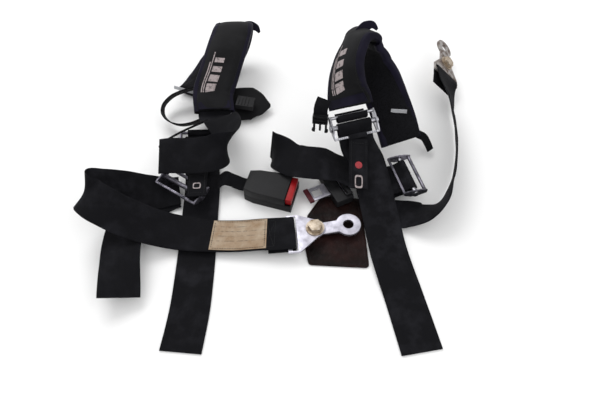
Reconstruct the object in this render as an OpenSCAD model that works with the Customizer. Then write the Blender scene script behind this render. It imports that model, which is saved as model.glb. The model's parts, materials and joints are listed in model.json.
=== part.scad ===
// Four point racing harness, unlatched and laid down in two halves.
// Each half has a shoulder pad, a shoulder adjuster with its tail, a lap belt
// and a bolted anchor. The left half carries the latch buckle and the right
// half carries its tongue. Millimetres, +Z up, standing on Z = 0.

/* [Webbing] */
// Width of the main webbing
web_w = 50; // [48:1:51]
// Thickness of the main webbing
web_t = 1.6; // [1.2:0.1:1.8]
// Width of the narrow chest webbing
thin_w = 20; // [16:1:22]
// Width of the pull tabs
tab_w = 27; // [22:1:30]

/* [Shoulder pads] */
// Width of a shoulder pad
pad_w = 61; // [56:1:64]
// Thickness of the outer padded panel
pad_outer_t = 6; // [4:0.5:7]
// Thickness of the inner mesh panel
pad_inner_t = 4; // [3:0.5:5]

/* [Adjusters] */
// Outside width of an adjuster frame
adj_w = 67; // [66:1:70]
// Wall of the adjuster frame
adj_wall = 2; // [1.6:0.2:2.4]
// Radius of the slide bar
bar_r = 3.5; // [3:0.1:3.6]

/* [Buckle] */
// Length of the buckle body
buckle_l = 70; // [66:1:72]
// Width of the buckle at its mouth
buckle_w = 48; // [44:1:50]
// Height of the buckle
buckle_h = 25; // [24:1:27]

/* [Anchors] */
// Radius of the mounting hole in an anchor eye
eye_hole_r = 7; // [6:0.5:7]
// Outside radius of an anchor eye
eye_r = 17; // [15:0.5:17]
// Distance from the anchor bolt to the eye hole
link_reach = 46; // [44:1:48]

/* [Hidden] */
$fn = 32;

// Moves the layout so that the origin is under the middle of the whole harness
centre_shift = [11, -49.8, 0];

black = [0.09, 0.09, 0.1];
steel = [0.75, 0.75, 0.78];
plastic = [0.13, 0.13, 0.14];
red = [0.75, 0.05, 0.06];
flat = [0, -1, 0];
across = [1, 0, 0];

// ---- vector helpers ----
function unit(v) = v / norm(v);
function turn_x(a, v) = [v[0], v[1] * cos(a) - v[2] * sin(a), v[1] * sin(a) + v[2] * cos(a)];
function turn_y(a, v) = [v[0] * cos(a) + v[2] * sin(a), v[1], v[2] * cos(a) - v[0] * sin(a)];
function turn_z(a, v) = [v[0] * cos(a) - v[1] * sin(a), v[0] * sin(a) + v[1] * cos(a), v[2]];
function turned(rot, v) = turn_z(rot[2], turn_y(rot[1], turn_x(rot[0], v)));
function reversed(list) = [for (i = [len(list) - 1:-1:0]) list[i]];
// A seat is [position, rotation]; the next two carry a point or a station into it
function seat_point(seat, p) = seat[0] + turned(seat[1], p);
function seat_stations(seat, list) =
    [for (s = list) [seat_point(seat, s[0]), turned(seat[1], s[1])]];
module at_seat(seat) { translate(centre_shift + seat[0]) rotate(seat[1]) children(); }

// ---- ribbon: a flat strap swept through stations ----
// A station is [centre, direction across the strap] with an optional width scale
function gap(r, i) = norm(r[i + 1][0] - r[i][0]);
function heading(r, i) =
    i == 0 ? (r[1][0] - r[0][0]) / gap(r, 0)
    : i == len(r) - 1 ? (r[i][0] - r[i - 1][0]) / gap(r, i - 1)
    : let(d0 = gap(r, i - 1), d1 = gap(r, i))
      ((r[i + 1][0] - r[i][0]) / d1 * d0 + (r[i][0] - r[i - 1][0]) / d0 * d1) / (d0 + d1);
function curve_point(r, i, t) = let(d = gap(r, i))
    r[i][0] * (2 * pow(t, 3) - 3 * t * t + 1) + heading(r, i) * d * (pow(t, 3) - 2 * t * t + t)
    + r[i + 1][0] * (3 * t * t - 2 * pow(t, 3)) + heading(r, i + 1) * d * (pow(t, 3) - t * t);
function curve_heading(r, i, t) = let(d = gap(r, i))
    unit((r[i][0] - r[i + 1][0]) * (6 * t * t - 6 * t) / d
    + heading(r, i) * (3 * t * t - 4 * t + 1) + heading(r, i + 1) * (3 * t * t - 2 * t));
function scale_of(s) = len(s) > 2 ? s[2] : 1;
function ring_at(r, i, t) = let(
    along = curve_heading(r, i, t),
    raw = unit(r[i][1]) * (1 - t) + unit(r[i + 1][1]) * t,
    side = unit(raw - along * (raw * along)))
    [curve_point(r, i, t), side, cross(along, side),
     scale_of(r[i]) * (1 - t) + scale_of(r[i + 1]) * t];
function rings_of(r, pitch) = concat(
    [for (i = [0:len(r) - 2]) let(n = max(1, ceil(gap(r, i) / pitch)))
        for (k = [0:n - 1]) ring_at(r, i, k / n)],
    [ring_at(r, len(r) - 2, 1)]);

// Columns split the width, which keeps a twisted strap true to its curve
module ribbon(stations, w = web_w, t = web_t, lift = 0, pitch = 12, columns = 1) {
    rings = rings_of(stations, pitch);
    corners = concat([for (k = [0:columns]) [1 - 2 * k / columns, 1]],
        [for (k = [0:columns]) [2 * k / columns - 1, -1]]);
    n = len(corners);
    points = [for (g = rings) for (c = corners)
        g[0] + g[1] * (c[0] * w / 2 * g[3]) + g[2] * (lift + c[1] * t / 2)];
    last = n * (len(rings) - 1);
    walls = [for (i = [0:len(rings) - 2]) for (j = [0:n - 1]) let(
        a = n * i + j, b = n * i + (j + 1) % n)
        each [[a, a + n, b + n], [a, b + n, b]]];
    translate(centre_shift) polyhedron(points, concat([[for (k = [0:n - 1]) k]], walls,
        [[for (k = [n - 1:-1:0]) last + k]]), convexity = 10);
}

// ---- where the hardware sits: [position, rotation] ----
left_adj = [[-148, 99, 20], [4, 0, 2]];
right_adj = [[76, 79, 72], [33, 0, 17]];
left_lap_adj = [[-165, 10, 20], [0, 6, -30]];
right_lap_adj = [[152, 26, 24], [0, 0, -76]];
buckle_seat = [[-75, 18, 0], [0, 0, -14]];
tongue_seat = [[50, 16, 12], [0, 0, 206]];
left_anchor = [[20, -59, 15], [0, 0, 5]];
right_anchor = [[246, 262, 34], [40, 0, 80]];
left_link = [[20, -59, 15], [0, 0, 11]];
clip_socket_seat = [[-87, 174, 26], [0, 4, -8]];
clip_prongs_seat = [[29, 91, 66], [0, 90, 80]];

// ---- strap routes ----
// The turn round a slide bar, from under the bar, over it and down behind the lip
wrap_r = bar_r + 1.3;
wrap = [[[0, -30, -9], across], [[0, -16, -7.5], across],
    for (a = [-90:30:120]) [[0, wrap_r * cos(a), wrap_r * sin(a)], across]];
wrap_exit = [[[0, -8.5, -0.6], across], [[0, -14, -2.6], across], [[0, -22, -4.5], across]];
// The loop that ties a pad to the rear bar of its adjuster
pad_tie = [[[0, 21, -7], across], [[0, 15, -7], across],
    [[0, 8.6, -5.5], across], [[0, 6.9, 0], across], [[0, 9, 5], across], [[0, 15, 6], across]];

left_shoulder_route = concat(seat_stations(left_adj, concat(wrap, wrap_exit)), [
    [[-145, 58, 11], across], [[-142, 36, 6.5], across], [[-140, 12, 5], across],
    [[-139, -12, 4.4], across], [[-138.5, -32, 3], across], [[-138, -50, 1.4], across],
    [[-137, -64, 1], across], [[-136, -90, 1], across], [[-135, -130, 1], across], [[-135, -170, 1], across],
    [[-137, -200, 1], [1, 0.02, 0]], [[-139, -222, 1], [1, 0.03, 0]]]);

right_shoulder_route = concat(
    [[[97, 24, 31], [1, 0.14, 0]], [[92, 38, 38.5], [1, 0.2, 0]]],
    seat_stations(right_adj, concat(wrap, wrap_exit)), [
    [[93, 36, 45], [1, 0.16, 0]], [[101, 8, 30], [1, 0.1, 0]], [[108, -22, 15], [1, 0.06, 0]],
    [[112, -50, 8.4], [1, 0.06, 0]], [[116, -84, 4.8], [1, 0.1, 0]],
    [[122, -118, 3.8], [1, 0.15, 0]], [[129, -150, 1.3], [1, 0.17, 0]],
    [[136, -188, 1], [1, 0.17, 0]], [[142, -222, 1], [1, 0.17, 0]]]);

// From the anchor along the label, up into the standing loop and back
left_lap_route = concat(seat_stations(left_anchor, [
    [[-64, -6, -4.4], flat], [[-44, -6, -3.8], flat],
    for (a = [-90:30:90]) [[-31.1 + 3.6 * cos(a), -6, 3.6 * sin(a)], flat],
    [[-44, -6, 3.8], flat]]), [
    [[-52, -68, 15], flat], [[-86, -68, 11], flat], [[-122, -66, 9], flat],
    [[-159, -64, 13], [-0.06, -0.98, -0.16]], [[-192, -64, 27], [-0.07, -0.96, -0.27]],
    [[-219, -63, 44], [-0.2, -0.88, -0.44]], [[-244, -58, 60], [-0.3, -0.84, -0.46]],
    [[-264, -49, 68], [-0.28, -0.84, -0.48]], [[-274, -39, 69], [-0.24, -0.85, -0.48]],
    [[-273, -29, 65], [-0.2, -0.82, -0.53]], [[-260, -21, 55], [-0.2, -0.78, -0.58]],
    [[-238, -10, 38], [-0.15, -0.82, -0.52]], [[-212, -1, 20], [-0.15, -0.94, -0.28]],
    [[-190, 8, 8.8], [-0.1, -1, -0.04]], [[-172, 12, 7.2], [-0.1, -1, 0]]]);

left_lap_tail_route = [[[-177, 8, 3], [0.1, -1, 0]], [[-190, 2, 2.4], [0.25, -0.97, 0]],
    [[-207, -10, 2.6], [0.6, -0.8, 0]], [[-223, -32, 6], [0.88, -0.47, 0.05]],
    [[-231, -56, 16], [0.97, -0.24, 0]], [[-230, -83, 22], [0.99, -0.1, 0]],
    [[-225, -117, 25], [1, 0.05, 0]], [[-219, -150, 24], [0.9, 0.3, -0.2]],
    [[-217, -163, 22], [0.83, 0.46, -0.3]]];

// From the pad end, folded over to the left and laid over the lap adjuster
crossover_route = [[[-133.5, 147.5, 25], [0.99, 0.1, -0.1]], [[-131, 139, 27], [0.98, 0.18, 0]],
    [[-121, 124, 40], [0.97, 0.16, 0.2]],
    [[-109, 102, 47], [0.85, 0.3, 0.42]], [[-102, 78, 52], [0.64, 0.48, 0.6]],
    [[-103, 58, 54], [0.4, 0.66, 0.64]], [[-116, 44, 54], [0.16, 0.78, 0.6]],
    [[-138, 38, 53], [0, 0.82, 0.57]], [[-162, 38, 52], [0, 0.82, 0.57]],
    [[-184, 40, 50], [0.05, 0.84, 0.54]], [[-198, 42, 46], [0.08, 0.86, 0.5]]];

right_lap_route = concat(
    [[[99, -24, 1.4], flat], [[122, -25, 1.6], flat], [[148, -29, 6], [0.06, -0.98, 0.14]],
    [[170, -33, 15], [0.03, -0.88, 0.46]], [[190, -24, 23], [-0.14, -0.72, 0.68]],
    [[208, 4, 27], [-0.24, -0.58, 0.78]], [[227, 58, 27], [-0.27, -0.6, 0.75]],
    [[237, 118, 27], [-0.26, -0.64, 0.72]], [[239, 168, 29], [-0.3, -0.62, 0.72]],
    [[240, 198, 31], [-0.55, -0.25, 0.72]]],
    seat_stations(right_anchor, [[[-40, 0, 3.9], [0, 1, 0]],
    for (a = [90:-30:-90]) [[-31.1 + 3.6 * cos(a), 0, 3.6 * sin(a)], [0, 1, 0]],
    [[-46, 0, -4.2], [0, 1, 0]], [[-64, 0, -5], [0, 1, 0]]]));

// Over the lap adjuster bar, under the shoulder tail, a hump, and the loose end
right_lap_tail_route = concat(
    [[[118, 17, 8], [0.1, -0.97, 0]], [[134, 22, 12], [0.18, -0.97, 0]]],
    seat_stations(right_lap_adj, [for (a = [-60:30:150]) [[0, wrap_r * cos(a), wrap_r * sin(a)], across]]),
    [[[134, 22, 20], [0.18, -0.97, 0]], [[110, 21, 20], [0.1, -0.98, 0]],
    [[80, 27, 24], [0, -1, 0]], [[54, 36, 29], [-0.04, -1, 0]], [[37, 34, 39], [0, -0.97, -0.24]],
    [[20, 31, 45], [0, -0.96, -0.28]], [[3, 35, 43], [0, -0.97, -0.2]],
    [[-12, 44, 37], [0.1, -0.99, -0.1]], [[-27, 59, 33], [0.34, -0.93, -0.05]],
    [[-42, 82, 28], [0.5, -0.85, 0], 0.9]]);

left_pad_route = [[[-134, 152, 27], [0.99, 0.1, -0.1]], [[-137, 180, 40], [0.98, 0.18, -0.1]],
    [[-129, 208, 54], [0.95, 0.26, -0.14]], [[-121, 238, 67], [0.95, 0.24, -0.14]],
    [[-114, 270, 77], [0.98, 0.14, -0.06]], [[-110, 294, 80], [0.99, 0.06, -0.02]],
    [[-110, 309, 74], [0.99, 0.04, 0]], [[-112, 316, 60], [0.99, 0.04, 0]],
    [[-118, 312, 42], [0.98, 0.1, 0]], [[-130, 297, 25], [0.97, 0.24, 0]],
    [[-146, 272, 15], [0.94, 0.34, 0]], [[-162, 240, 11.4], [0.92, 0.4, 0]],
    [[-175, 212, 12], [0.92, 0.38, 0]]];

right_pad_route = [[[72, 100, 86], [0.98, 0.02, 0.16]], [[66, 120, 106], [0.76, -0.54, 0.36]],
    [[67, 140, 126], [0.52, -0.73, 0.44]], [[74, 157, 142], [0.34, -0.83, 0.44]],
    [[84, 171, 151], [0.24, -0.86, 0.44]], [[95, 178, 148], [0.26, -0.86, 0.4]],
    [[102, 176, 134], [0.4, -0.9, 0.1]], [[108, 166, 113], [0.6, -0.76, -0.1]],
    [[118, 150, 89], [0.82, -0.5, -0.2]], [[131, 132, 64], [0.92, -0.3, -0.22]],
    [[144, 111, 41], [0.97, -0.1, -0.2]], [[152, 92, 23], [0.98, 0.1, -0.1]]];

left_loop_route = [[[-162, 203, 34], [0, -0.62, 0.78]], [[-186, 199, 30], [0, -0.62, 0.78]],
    [[-207, 189, 26], [0.05, -0.62, 0.78]], [[-217, 173, 23], [0.1, -0.6, 0.78]],
    [[-216, 155, 20], [0, -0.6, 0.8]], [[-204, 140, 18], [-0.05, -0.6, 0.8]],
    [[-188, 134, 17], [0, -0.6, 0.8]], [[-170, 137, 17], [0, -0.6, 0.8]]];

thin_strap_route = [[[-154, 116, 36], [0.2, -0.6, 0.78]], [[-178, 99, 36], [0.2, -0.6, 0.78]],
    [[-196, 84, 35], [0.2, -0.6, 0.78]], [[-206, 73, 33], [0.2, -0.6, 0.78]]];
pad_tail_route = [[[187, 101, 24], [0.5, 0.8, 0.2]], [[193, 95, 17], [0.5, 0.8, 0.2]],
    [[198, 88, 9], [0.6, 0.75, 0]]];
prong_strap_route = [[[34, 104, 97], [0.98, -0.17, 0]], [[31, 98, 93], [0.98, -0.17, 0]],
    [[29, 93, 87], [0.98, -0.17, 0]], [[29, 91, 79], [0.98, -0.17, 0]]];

// ---- shared parts ----
module adjuster_frame() {
    half = adj_w / 2;
    for (side = [-1, 1]) difference() {
        translate([side * (half - adj_wall / 2), 0, 0]) rotate([90, 0, 90])
            linear_extrude(adj_wall, center = true)
                polygon([[-18, 0.6], [-15, -2], [-6, -6], [6, -6], [17, -3], [17, 3],
                    [8, 5.6], [-6, 6.2], [-14, 5.6], [-18, 4]]);
        translate([side * half, 0, 0]) rotate([0, 90, 0])
            cylinder(r = bar_r + 0.06, h = 3 * adj_wall, center = true);
    }
    translate([0, 14.4, 0]) rotate([0, 90, 0])
        cylinder(r = 2.4, h = adj_w - adj_wall, center = true);
    // Front lip with its row of teeth
    difference() {
        translate([-half, -18, 0.6]) cube([adj_w, 3, 3.4]);
        for (x = [-half + 5:3:half - 5]) translate([x, -18, 4]) rotate([0, 45, 0])
            cube([1.4, 4, 1.4], center = true);
    }
}

module slide_bar() {
    rotate([0, 90, 0]) cylinder(r = bar_r, h = adj_w + 1, center = true);
    for (side = [-1, 1]) translate([side * (adj_w / 2 + 1.2), 0, 0]) rotate([0, 90, 0])
        cylinder(r = bar_r + 1.2, h = 1.6, center = true);
}

plate_t = 3;
link_t = 4.4;
// Triangular plate: a webbing slot at the back and the bolt hole at the origin
module anchor_plate(slot_y) {
    difference() {
        union() {
            cylinder(r = 13.5, h = plate_t, center = true);
            linear_extrude(plate_t, center = true)
                polygon([[-38, slot_y - 29], [-22, slot_y - 29], [4, -12.9], [4, 12.9],
                    [-22, slot_y + 29], [-38, slot_y + 29]]);
        }
        cylinder(r = 5.6, h = plate_t + 2, center = true);
        translate([-28.2, slot_y, 0]) cube([7, 54, plate_t + 2], center = true);
    }
}
module anchor_link() {
    translate([0, 0, -plate_t / 2 - 0.2 - link_t / 2]) difference() {
        union() {
            cylinder(r = 12, h = link_t, center = true);
            translate([link_reach / 2, 0, 0]) cube([link_reach, 18, link_t], center = true);
            translate([link_reach, 0, 0]) cylinder(r = eye_r, h = link_t, center = true);
        }
        cylinder(r = 5.6, h = link_t + 2, center = true);
        translate([link_reach, 0, 0]) cylinder(r = eye_hole_r, h = link_t + 2, center = true);
    }
}
module anchor_washer() {
    translate([0, 0, plate_t / 2 + 0.1]) difference() {
        cylinder(r = 12.4, h = 1.6);
        translate([0, 0, -1]) cylinder(r = 5.6, h = 4);
    }
}
module anchor_bolt() {
    translate([0, 0, plate_t / 2 + 1.8]) cylinder(r = 9.8, h = 6, $fn = 6);
    translate([0, 0, -plate_t / 2 - link_t - 6.2]) cylinder(r = 5.54, h = 10.8 + plate_t + 2);
}
module anchor_nut() {
    translate([0, 0, -plate_t / 2 - link_t - 6]) difference() {
        cylinder(r = 9.6, h = 5.6, $fn = 6);
        translate([0, 0, -1]) cylinder(r = 5.6, h = 8);
    }
}

module pull_tab(seat, end, rise) {
    start = seat_point(seat, [0, -22, 2.6]);
    side = turned(seat[1], across);
    ribbon([[start, side], [start * 0.75 + end * 0.25 + [0, 0, rise], side],
        [start * 0.4 + end * 0.6 + [0, 0, rise], side], [end, side]], w = tab_w, t = 2.4);
}

// ---- left half: soft parts ----
// The webbing runs between the two pad panels with this clearance on each side
pad_gap = 1.2;
left_pad_pitch = 4.5;
right_pad_pitch = 4;
left_pad_columns = 3;
right_pad_columns = 2;
outer_lift = web_t / 2 + pad_gap + pad_outer_t / 2;
inner_lift = web_t / 2 + pad_gap + pad_inner_t / 2;
module left_shoulder_pad_outer() color(black)
    ribbon(left_pad_route, w = pad_w, t = pad_outer_t, lift = -outer_lift, pitch = left_pad_pitch,
        columns = left_pad_columns);
module left_shoulder_pad_inner() color(black)
    ribbon(left_pad_route, w = pad_w, t = pad_inner_t, lift = inner_lift, pitch = left_pad_pitch,
        columns = left_pad_columns);
module left_pad_webbing() color(black)
    ribbon(concat(reversed(left_pad_route), crossover_route), pitch = left_pad_pitch,
        columns = left_pad_columns);
module left_adjuster_tie() color(black) ribbon(seat_stations(left_adj, pad_tie), w = 44);
module left_pad_hem() color([0.55, 0.56, 0.58])
    ribbon([[[-208, 217, 22], [0, 0.2, 1]], [[-187, 211, 20], [0, 0.2, 1]],
        [[-166, 204, 19], [0, 0.2, 1]]], w = 6, t = 1.6);
module left_pull_tab() color(black)
    pull_tab(left_adj, [-142, -14, 27], 4);
module left_shoulder_webbing() color(black) ribbon(left_shoulder_route, pitch = 14);
module left_lap_webbing() color(black) ribbon(left_lap_route, pitch = 14);
module left_lap_tail() color(black) ribbon(left_lap_tail_route);
module sewn_label() color([0.66, 0.56, 0.42])
    ribbon([[[-44, -68, 17.9], flat], [[-56, -68, 16.1], flat], [[-86, -68, 12.4], flat],
        [[-118, -66, 10.5], flat]], w = 46, t = 0.8);
module buckle_strap() color(black)
    ribbon([[[-70, 17, 12], [0.24, 0.97, 0], 0.75], [[-84, 20, 12], [0.24, 0.97, 0], 0.75],
        [[-97, 25, 14], [0.1, 0.97, 0.2], 0.7], [[-106, 24, 20], [0.1, 0.97, 0.1], 0.8],
        [[-118, 22, 12], [0, 1, 0], 0.9]], w = 30);
module left_chest_strap() color(black)
    ribbon([[[-96, 182, 17], [0.1, 1, 0.3]], [[-78, 184, 16], [0.05, 1, 0.3]],
        [[-60, 183, 14], [0, 1, 0.3], 0.6], [[-48, 183, 12], [0, 1, 0.3], 0.08]], w = 60);
module left_pad_loop() color(black) ribbon(left_loop_route, w = thin_w, t = 2);
module left_thin_strap() color(black) ribbon(thin_strap_route, w = 12, t = 2);

// ---- left half: hardware ----
module left_shoulder_adjuster() color(steel) at_seat(left_adj) adjuster_frame();
module left_shoulder_slide_bar() color(steel) at_seat(left_adj) slide_bar();
module left_lap_adjuster() color(steel) at_seat(left_lap_adj) adjuster_frame();
module left_lap_slide_bar() color(steel) at_seat(left_lap_adj) slide_bar();
module left_anchor_plate() color(steel) at_seat(left_anchor) anchor_plate(-6);
module left_anchor_bolt() color([0.7, 0.6, 0.4]) at_seat(left_anchor) anchor_bolt();
module left_anchor_washer() color([0.7, 0.6, 0.4]) at_seat(left_anchor) anchor_washer();
module left_anchor_nut() color([0.7, 0.6, 0.4]) at_seat(left_anchor) anchor_nut();
module left_anchor_link() color(steel) at_seat(left_link) anchor_link();

// ---- latch buckle: X runs from the strap end to the mouth ----
wall = 2;
mid_z = 12;
// Outline of the body, narrow at the strap and wide at the mouth, pulled in by a
module body_outline(a) polygon([[a, -17 + a], [14, -21 + a], [buckle_l - a, -buckle_w / 2 + a],
    [buckle_l - a, buckle_w / 2 - a], [14, 21 - a], [a, 17 - a]]);
module buckle_bottom_cover() color(plastic) at_seat(buckle_seat) difference() {
    linear_extrude(mid_z - 0.1) body_outline(0);
    translate([0, 0, wall]) linear_extrude(mid_z) body_outline(wall);
    translate([buckle_l - 3, -15, 6]) cube([6, 30, 10]);
    translate([-3, -13, 8.5]) cube([8, 26, 10]);
    for (p = screw_spots) translate([p[0], p[1], -1]) cylinder(r = 1.6, h = 6);
}
module buckle_top_cover() color(plastic) at_seat(buckle_seat) {
    difference() {
        translate([0, 0, mid_z]) linear_extrude(buckle_h - mid_z) body_outline(0);
        translate([0, 0, mid_z - 1]) linear_extrude(buckle_h - mid_z - wall + 1)
            body_outline(wall);
        translate([buckle_l - 9, -buckle_w / 2 - 1, mid_z - 1]) cube([12, buckle_w + 2, 20]);
        translate([-3, -13, mid_z - 1]) cube([8, 26, 3.5]);
    }
    // Posts that the button springs push against
    for (side = [-1, 1]) translate([42.4, side * leg_y - 1.8, 14])
        cube([2, 3.6, buckle_h - wall - 13.5]);
}
screw_spots = [[8, -12], [8, 12], [50, -17.5], [50, 17.5]];
// How far the two legs of the button stand from the middle
leg_y = 17.2;
module buckle_screws() color(steel) at_seat(buckle_seat)
    for (p = screw_spots) translate([p[0], p[1], 0.3]) cylinder(r = 1.5, h = 1.5);
frame_z = 5;
module buckle_frame() color(steel) at_seat(buckle_seat) difference() {
    union() {
        translate([6, -14, frame_z]) cube([50, 28, 2.4]);
        for (side = [-1, 1]) translate([18, side * 13 - 1, frame_z]) cube([24, 2, 14.5]);
        translate([13.6, -4, frame_z]) cube([2.2, 8, 7.6]);
    }
    translate([9, -13, frame_z - 1]) cube([4, 26, 5]);
    translate([pawl_x, 0, pawl_z]) rotate([90, 0, 0]) cylinder(r = 1.56, h = 40, center = true);
    translate([43, -6, frame_z - 1]) cube([6, 12, 5]);
}
pawl_x = 24;
pawl_z = 16.4;
module pawl_pin() color(steel) at_seat(buckle_seat) translate([pawl_x, 0, pawl_z])
    rotate([90, 0, 0]) cylinder(r = 1.5, h = 30, center = true);
module latch_pawl() color([0.6, 0.6, 0.62]) at_seat(buckle_seat) difference() {
    union() {
        translate([pawl_x, 0, pawl_z]) rotate([90, 0, 0]) cylinder(r = 3, h = 22, center = true);
        translate([pawl_x, -9, pawl_z - 1.6]) cube([24, 18, 2.4]);
        translate([44.5, -5, 8.6]) cube([3, 10, 7]);
    }
    translate([pawl_x, 0, pawl_z]) rotate([90, 0, 0]) cylinder(r = 1.56, h = 40, center = true);
}
module release_button() color(red) at_seat(buckle_seat) difference() {
    union() {
        translate([buckle_l - 8.6, -20.6, 13]) cube([8.2, 41.2, 9.7]);
        for (side = [-1, 1]) translate([buckle_l - 14, side * leg_y - 1.2, 13.4]) cube([8, 2.4, 6]);
    }
    translate([buckle_l - 9, -16, 12]) cube([6, 32, 9]);
}
function coil(turns, r, length, step = 30) =
    [for (a = [0:step:360 * turns]) [a / 360 / turns * length, r * cos(a), r * sin(a)]];
module coil_spring(turns, r, length, wire) {
    path = coil(turns, r, length);
    n = 6;
    pts = [for (i = [0:len(path) - 1]) let(
        along = unit(path[min(i + 1, len(path) - 1)] - path[max(i - 1, 0)]),
        out = unit([0, path[i][1], path[i][2]] - along * ([0, path[i][1], path[i][2]] * along)),
        up = cross(along, out))
        for (k = [0:n - 1]) path[i] + wire * (out * cos(k * 360 / n) + up * sin(k * 360 / n))];
    last = n * (len(path) - 1);
    polyhedron(pts, concat([[for (k = [0:n - 1]) k]],
        [for (i = [0:len(path) - 2]) for (k = [0:n - 1]) let(
            a = n * i + k, b = n * i + (k + 1) % n)
            each [[a, a + n, b + n], [a, b + n, b]]],
        [[for (k = [n - 1:-1:0]) last + k]]), convexity = 10);
}
module button_spring() color(steel) at_seat(buckle_seat)
    for (side = [-1, 1]) translate([44.8, side * leg_y, 16.4]) coil_spring(5, 1.6, 10.8, 0.35);
module ejector() color([0.85, 0.85, 0.82]) at_seat(buckle_seat)
    translate([31, -9, 7.9]) cube([8, 18, 4]);
module ejector_spring() color(steel) at_seat(buckle_seat)
    translate([16, 0, 10.4]) coil_spring(6, 1.8, 14.3, 0.35);

// ---- chest strap clips: X runs towards the mouth ----
module chest_clip_socket() color(plastic) at_seat(clip_socket_seat) difference() {
    union() {
        translate([-14, -11, -4]) cube([28, 22, 8]);
        for (x = [-10:5:5]) translate([x, 0, 4.2]) rotate([90, 0, 0])
            cylinder(r = 0.9, h = 18, center = true);
    }
    translate([-2, -8.6, -2.7]) cube([17, 17.2, 5.4]);
    translate([-12, -10, -5]) cube([3, 20, 6.4]);
}
module chest_clip_prongs() color(plastic) at_seat(clip_prongs_seat) {
    difference() {
        translate([-12, -11, -4]) cube([14, 22, 8]);
        translate([-9.5, -9, -5]) cube([3.4, 18, 10]);
        translate([-3.4, -9, -5]) cube([3.2, 18, 10]);
    }
    for (side = [-1, 1]) translate([2, side * 8.6 - 1.5, -2]) cube([18, 3, 4]);
    for (side = [-1, 1]) translate([17, side * 9.4, 0]) cylinder(r = 2.6, h = 4, center = true);
    translate([2, -1.5, -1.5]) cube([15, 3, 3]);
}

// ---- right half: soft parts ----
module right_shoulder_pad_outer() color(black)
    ribbon(right_pad_route, w = pad_w, t = pad_outer_t, lift = -outer_lift, pitch = right_pad_pitch,
        columns = right_pad_columns);
module right_shoulder_pad_inner() color(black)
    ribbon(right_pad_route, w = pad_w, t = pad_inner_t, lift = inner_lift, pitch = right_pad_pitch,
        columns = right_pad_columns);
module right_pad_webbing() color(black)
    ribbon(right_pad_route, pitch = right_pad_pitch, columns = right_pad_columns);
module right_pad_hem() color([0.55, 0.56, 0.58])
    ribbon([[[134, 120, 62], [0.1, 0.3, 0.9]], [[158, 112, 58], [0.1, 0.3, 0.9]]], w = 6, t = 1.6);
module right_pad_tail() color(black) ribbon(pad_tail_route, w = 14, t = 2);
module right_adjuster_tie() color(black) ribbon(seat_stations(right_adj, pad_tie), w = 44);
module right_pull_tab() color(black) pull_tab(right_adj, [80, -6, 34], 0);
module right_shoulder_webbing() color(black) ribbon(right_shoulder_route, pitch = 14);
module right_lap_webbing() color(black) ribbon(right_lap_route, pitch = 14);
module right_lap_tail() color(black) ribbon(right_lap_tail_route);
module right_chest_strap() color(black) ribbon(prong_strap_route, w = thin_w);
flap_outline = [[34, 0], [16, -30], [13, -80], [16, -101], [84, -105], [82, -50], [80, -4]];
module buckle_flap() color([0.2, 0.11, 0.1]) translate(centre_shift)
    linear_extrude(2.4) offset(r = 6) polygon(flap_outline);

// ---- right half: hardware ----
module right_shoulder_adjuster() color(steel) at_seat(right_adj) adjuster_frame();
module right_shoulder_slide_bar() color(steel) at_seat(right_adj) slide_bar();
module right_lap_adjuster() color(steel) at_seat(right_lap_adj) adjuster_frame();
module right_lap_slide_bar() color(steel) at_seat(right_lap_adj) slide_bar();
module right_anchor_plate() color(steel) at_seat(right_anchor) anchor_plate(0);
module right_anchor_bolt() color([0.7, 0.6, 0.4]) at_seat(right_anchor) anchor_bolt();
module right_anchor_washer() color([0.7, 0.6, 0.4]) at_seat(right_anchor) anchor_washer();
module right_anchor_nut() color([0.7, 0.6, 0.4]) at_seat(right_anchor) anchor_nut();
module right_anchor_link() color(steel) at_seat(right_anchor) anchor_link();
module tongue_plate() color(steel) at_seat(tongue_seat) difference() {
    union() {
        translate([-10, -27, -1]) cube([16, 54, 2]);
        translate([5, -11, -1]) cube([38, 22, 2]);
    }
    translate([22, -6, -2]) cube([14, 12, 4]);
    translate([-7, -24, -2]) cube([4, 48, 4]);
}
module tongue_tip() color([0.35, 0.05, 0.08]) at_seat(tongue_seat) difference() {
    translate([38.5, -11.9, -2]) cube([6.5, 23.8, 4]);
    translate([37, -11.1, -1.06]) cube([6.1, 22.2, 2.12]);
}
module tongue_cover() color(plastic) at_seat(tongue_seat) difference() {
    union() {
        translate([-13, -31, -6.5]) cube([26, 62, 12]);
        translate([-13, -27, 5.5]) cube([10, 54, 3.4]);
    }
    translate([-10.2, -27.2, -1.06]) cube([20, 54.4, 2.12]);
    translate([5, -11.2, -1.06]) cube([20, 22.4, 2.12]);
    translate([-7.2, -25, -10]) cube([4.4, 50, 30]);
}

left_shoulder_pad_outer();
left_shoulder_pad_inner();
left_pad_webbing();
left_pad_hem();
left_adjuster_tie();
left_shoulder_adjuster();
left_shoulder_slide_bar();
left_pull_tab();
left_shoulder_webbing();
left_lap_adjuster();
left_lap_slide_bar();
left_lap_webbing();
left_lap_tail();
sewn_label();
left_anchor_plate();
left_anchor_bolt();
left_anchor_washer();
left_anchor_nut();
left_anchor_link();
buckle_strap();
buckle_top_cover();
buckle_bottom_cover();
buckle_frame();
release_button();
latch_pawl();
pawl_pin();
button_spring();
ejector();
ejector_spring();
buckle_screws();
left_chest_strap();
chest_clip_socket();
left_pad_loop();
left_thin_strap();
right_shoulder_pad_outer();
right_shoulder_pad_inner();
right_pad_webbing();
right_pad_hem();
right_pad_tail();
right_adjuster_tie();
right_shoulder_adjuster();
right_shoulder_slide_bar();
right_pull_tab();
right_shoulder_webbing();
right_lap_adjuster();
right_lap_slide_bar();
right_lap_webbing();
right_lap_tail();
right_anchor_plate();
right_anchor_bolt();
right_anchor_washer();
right_anchor_nut();
right_anchor_link();
tongue_plate();
tongue_tip();
tongue_cover();
right_chest_strap();
chest_clip_prongs();
buckle_flap();
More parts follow.
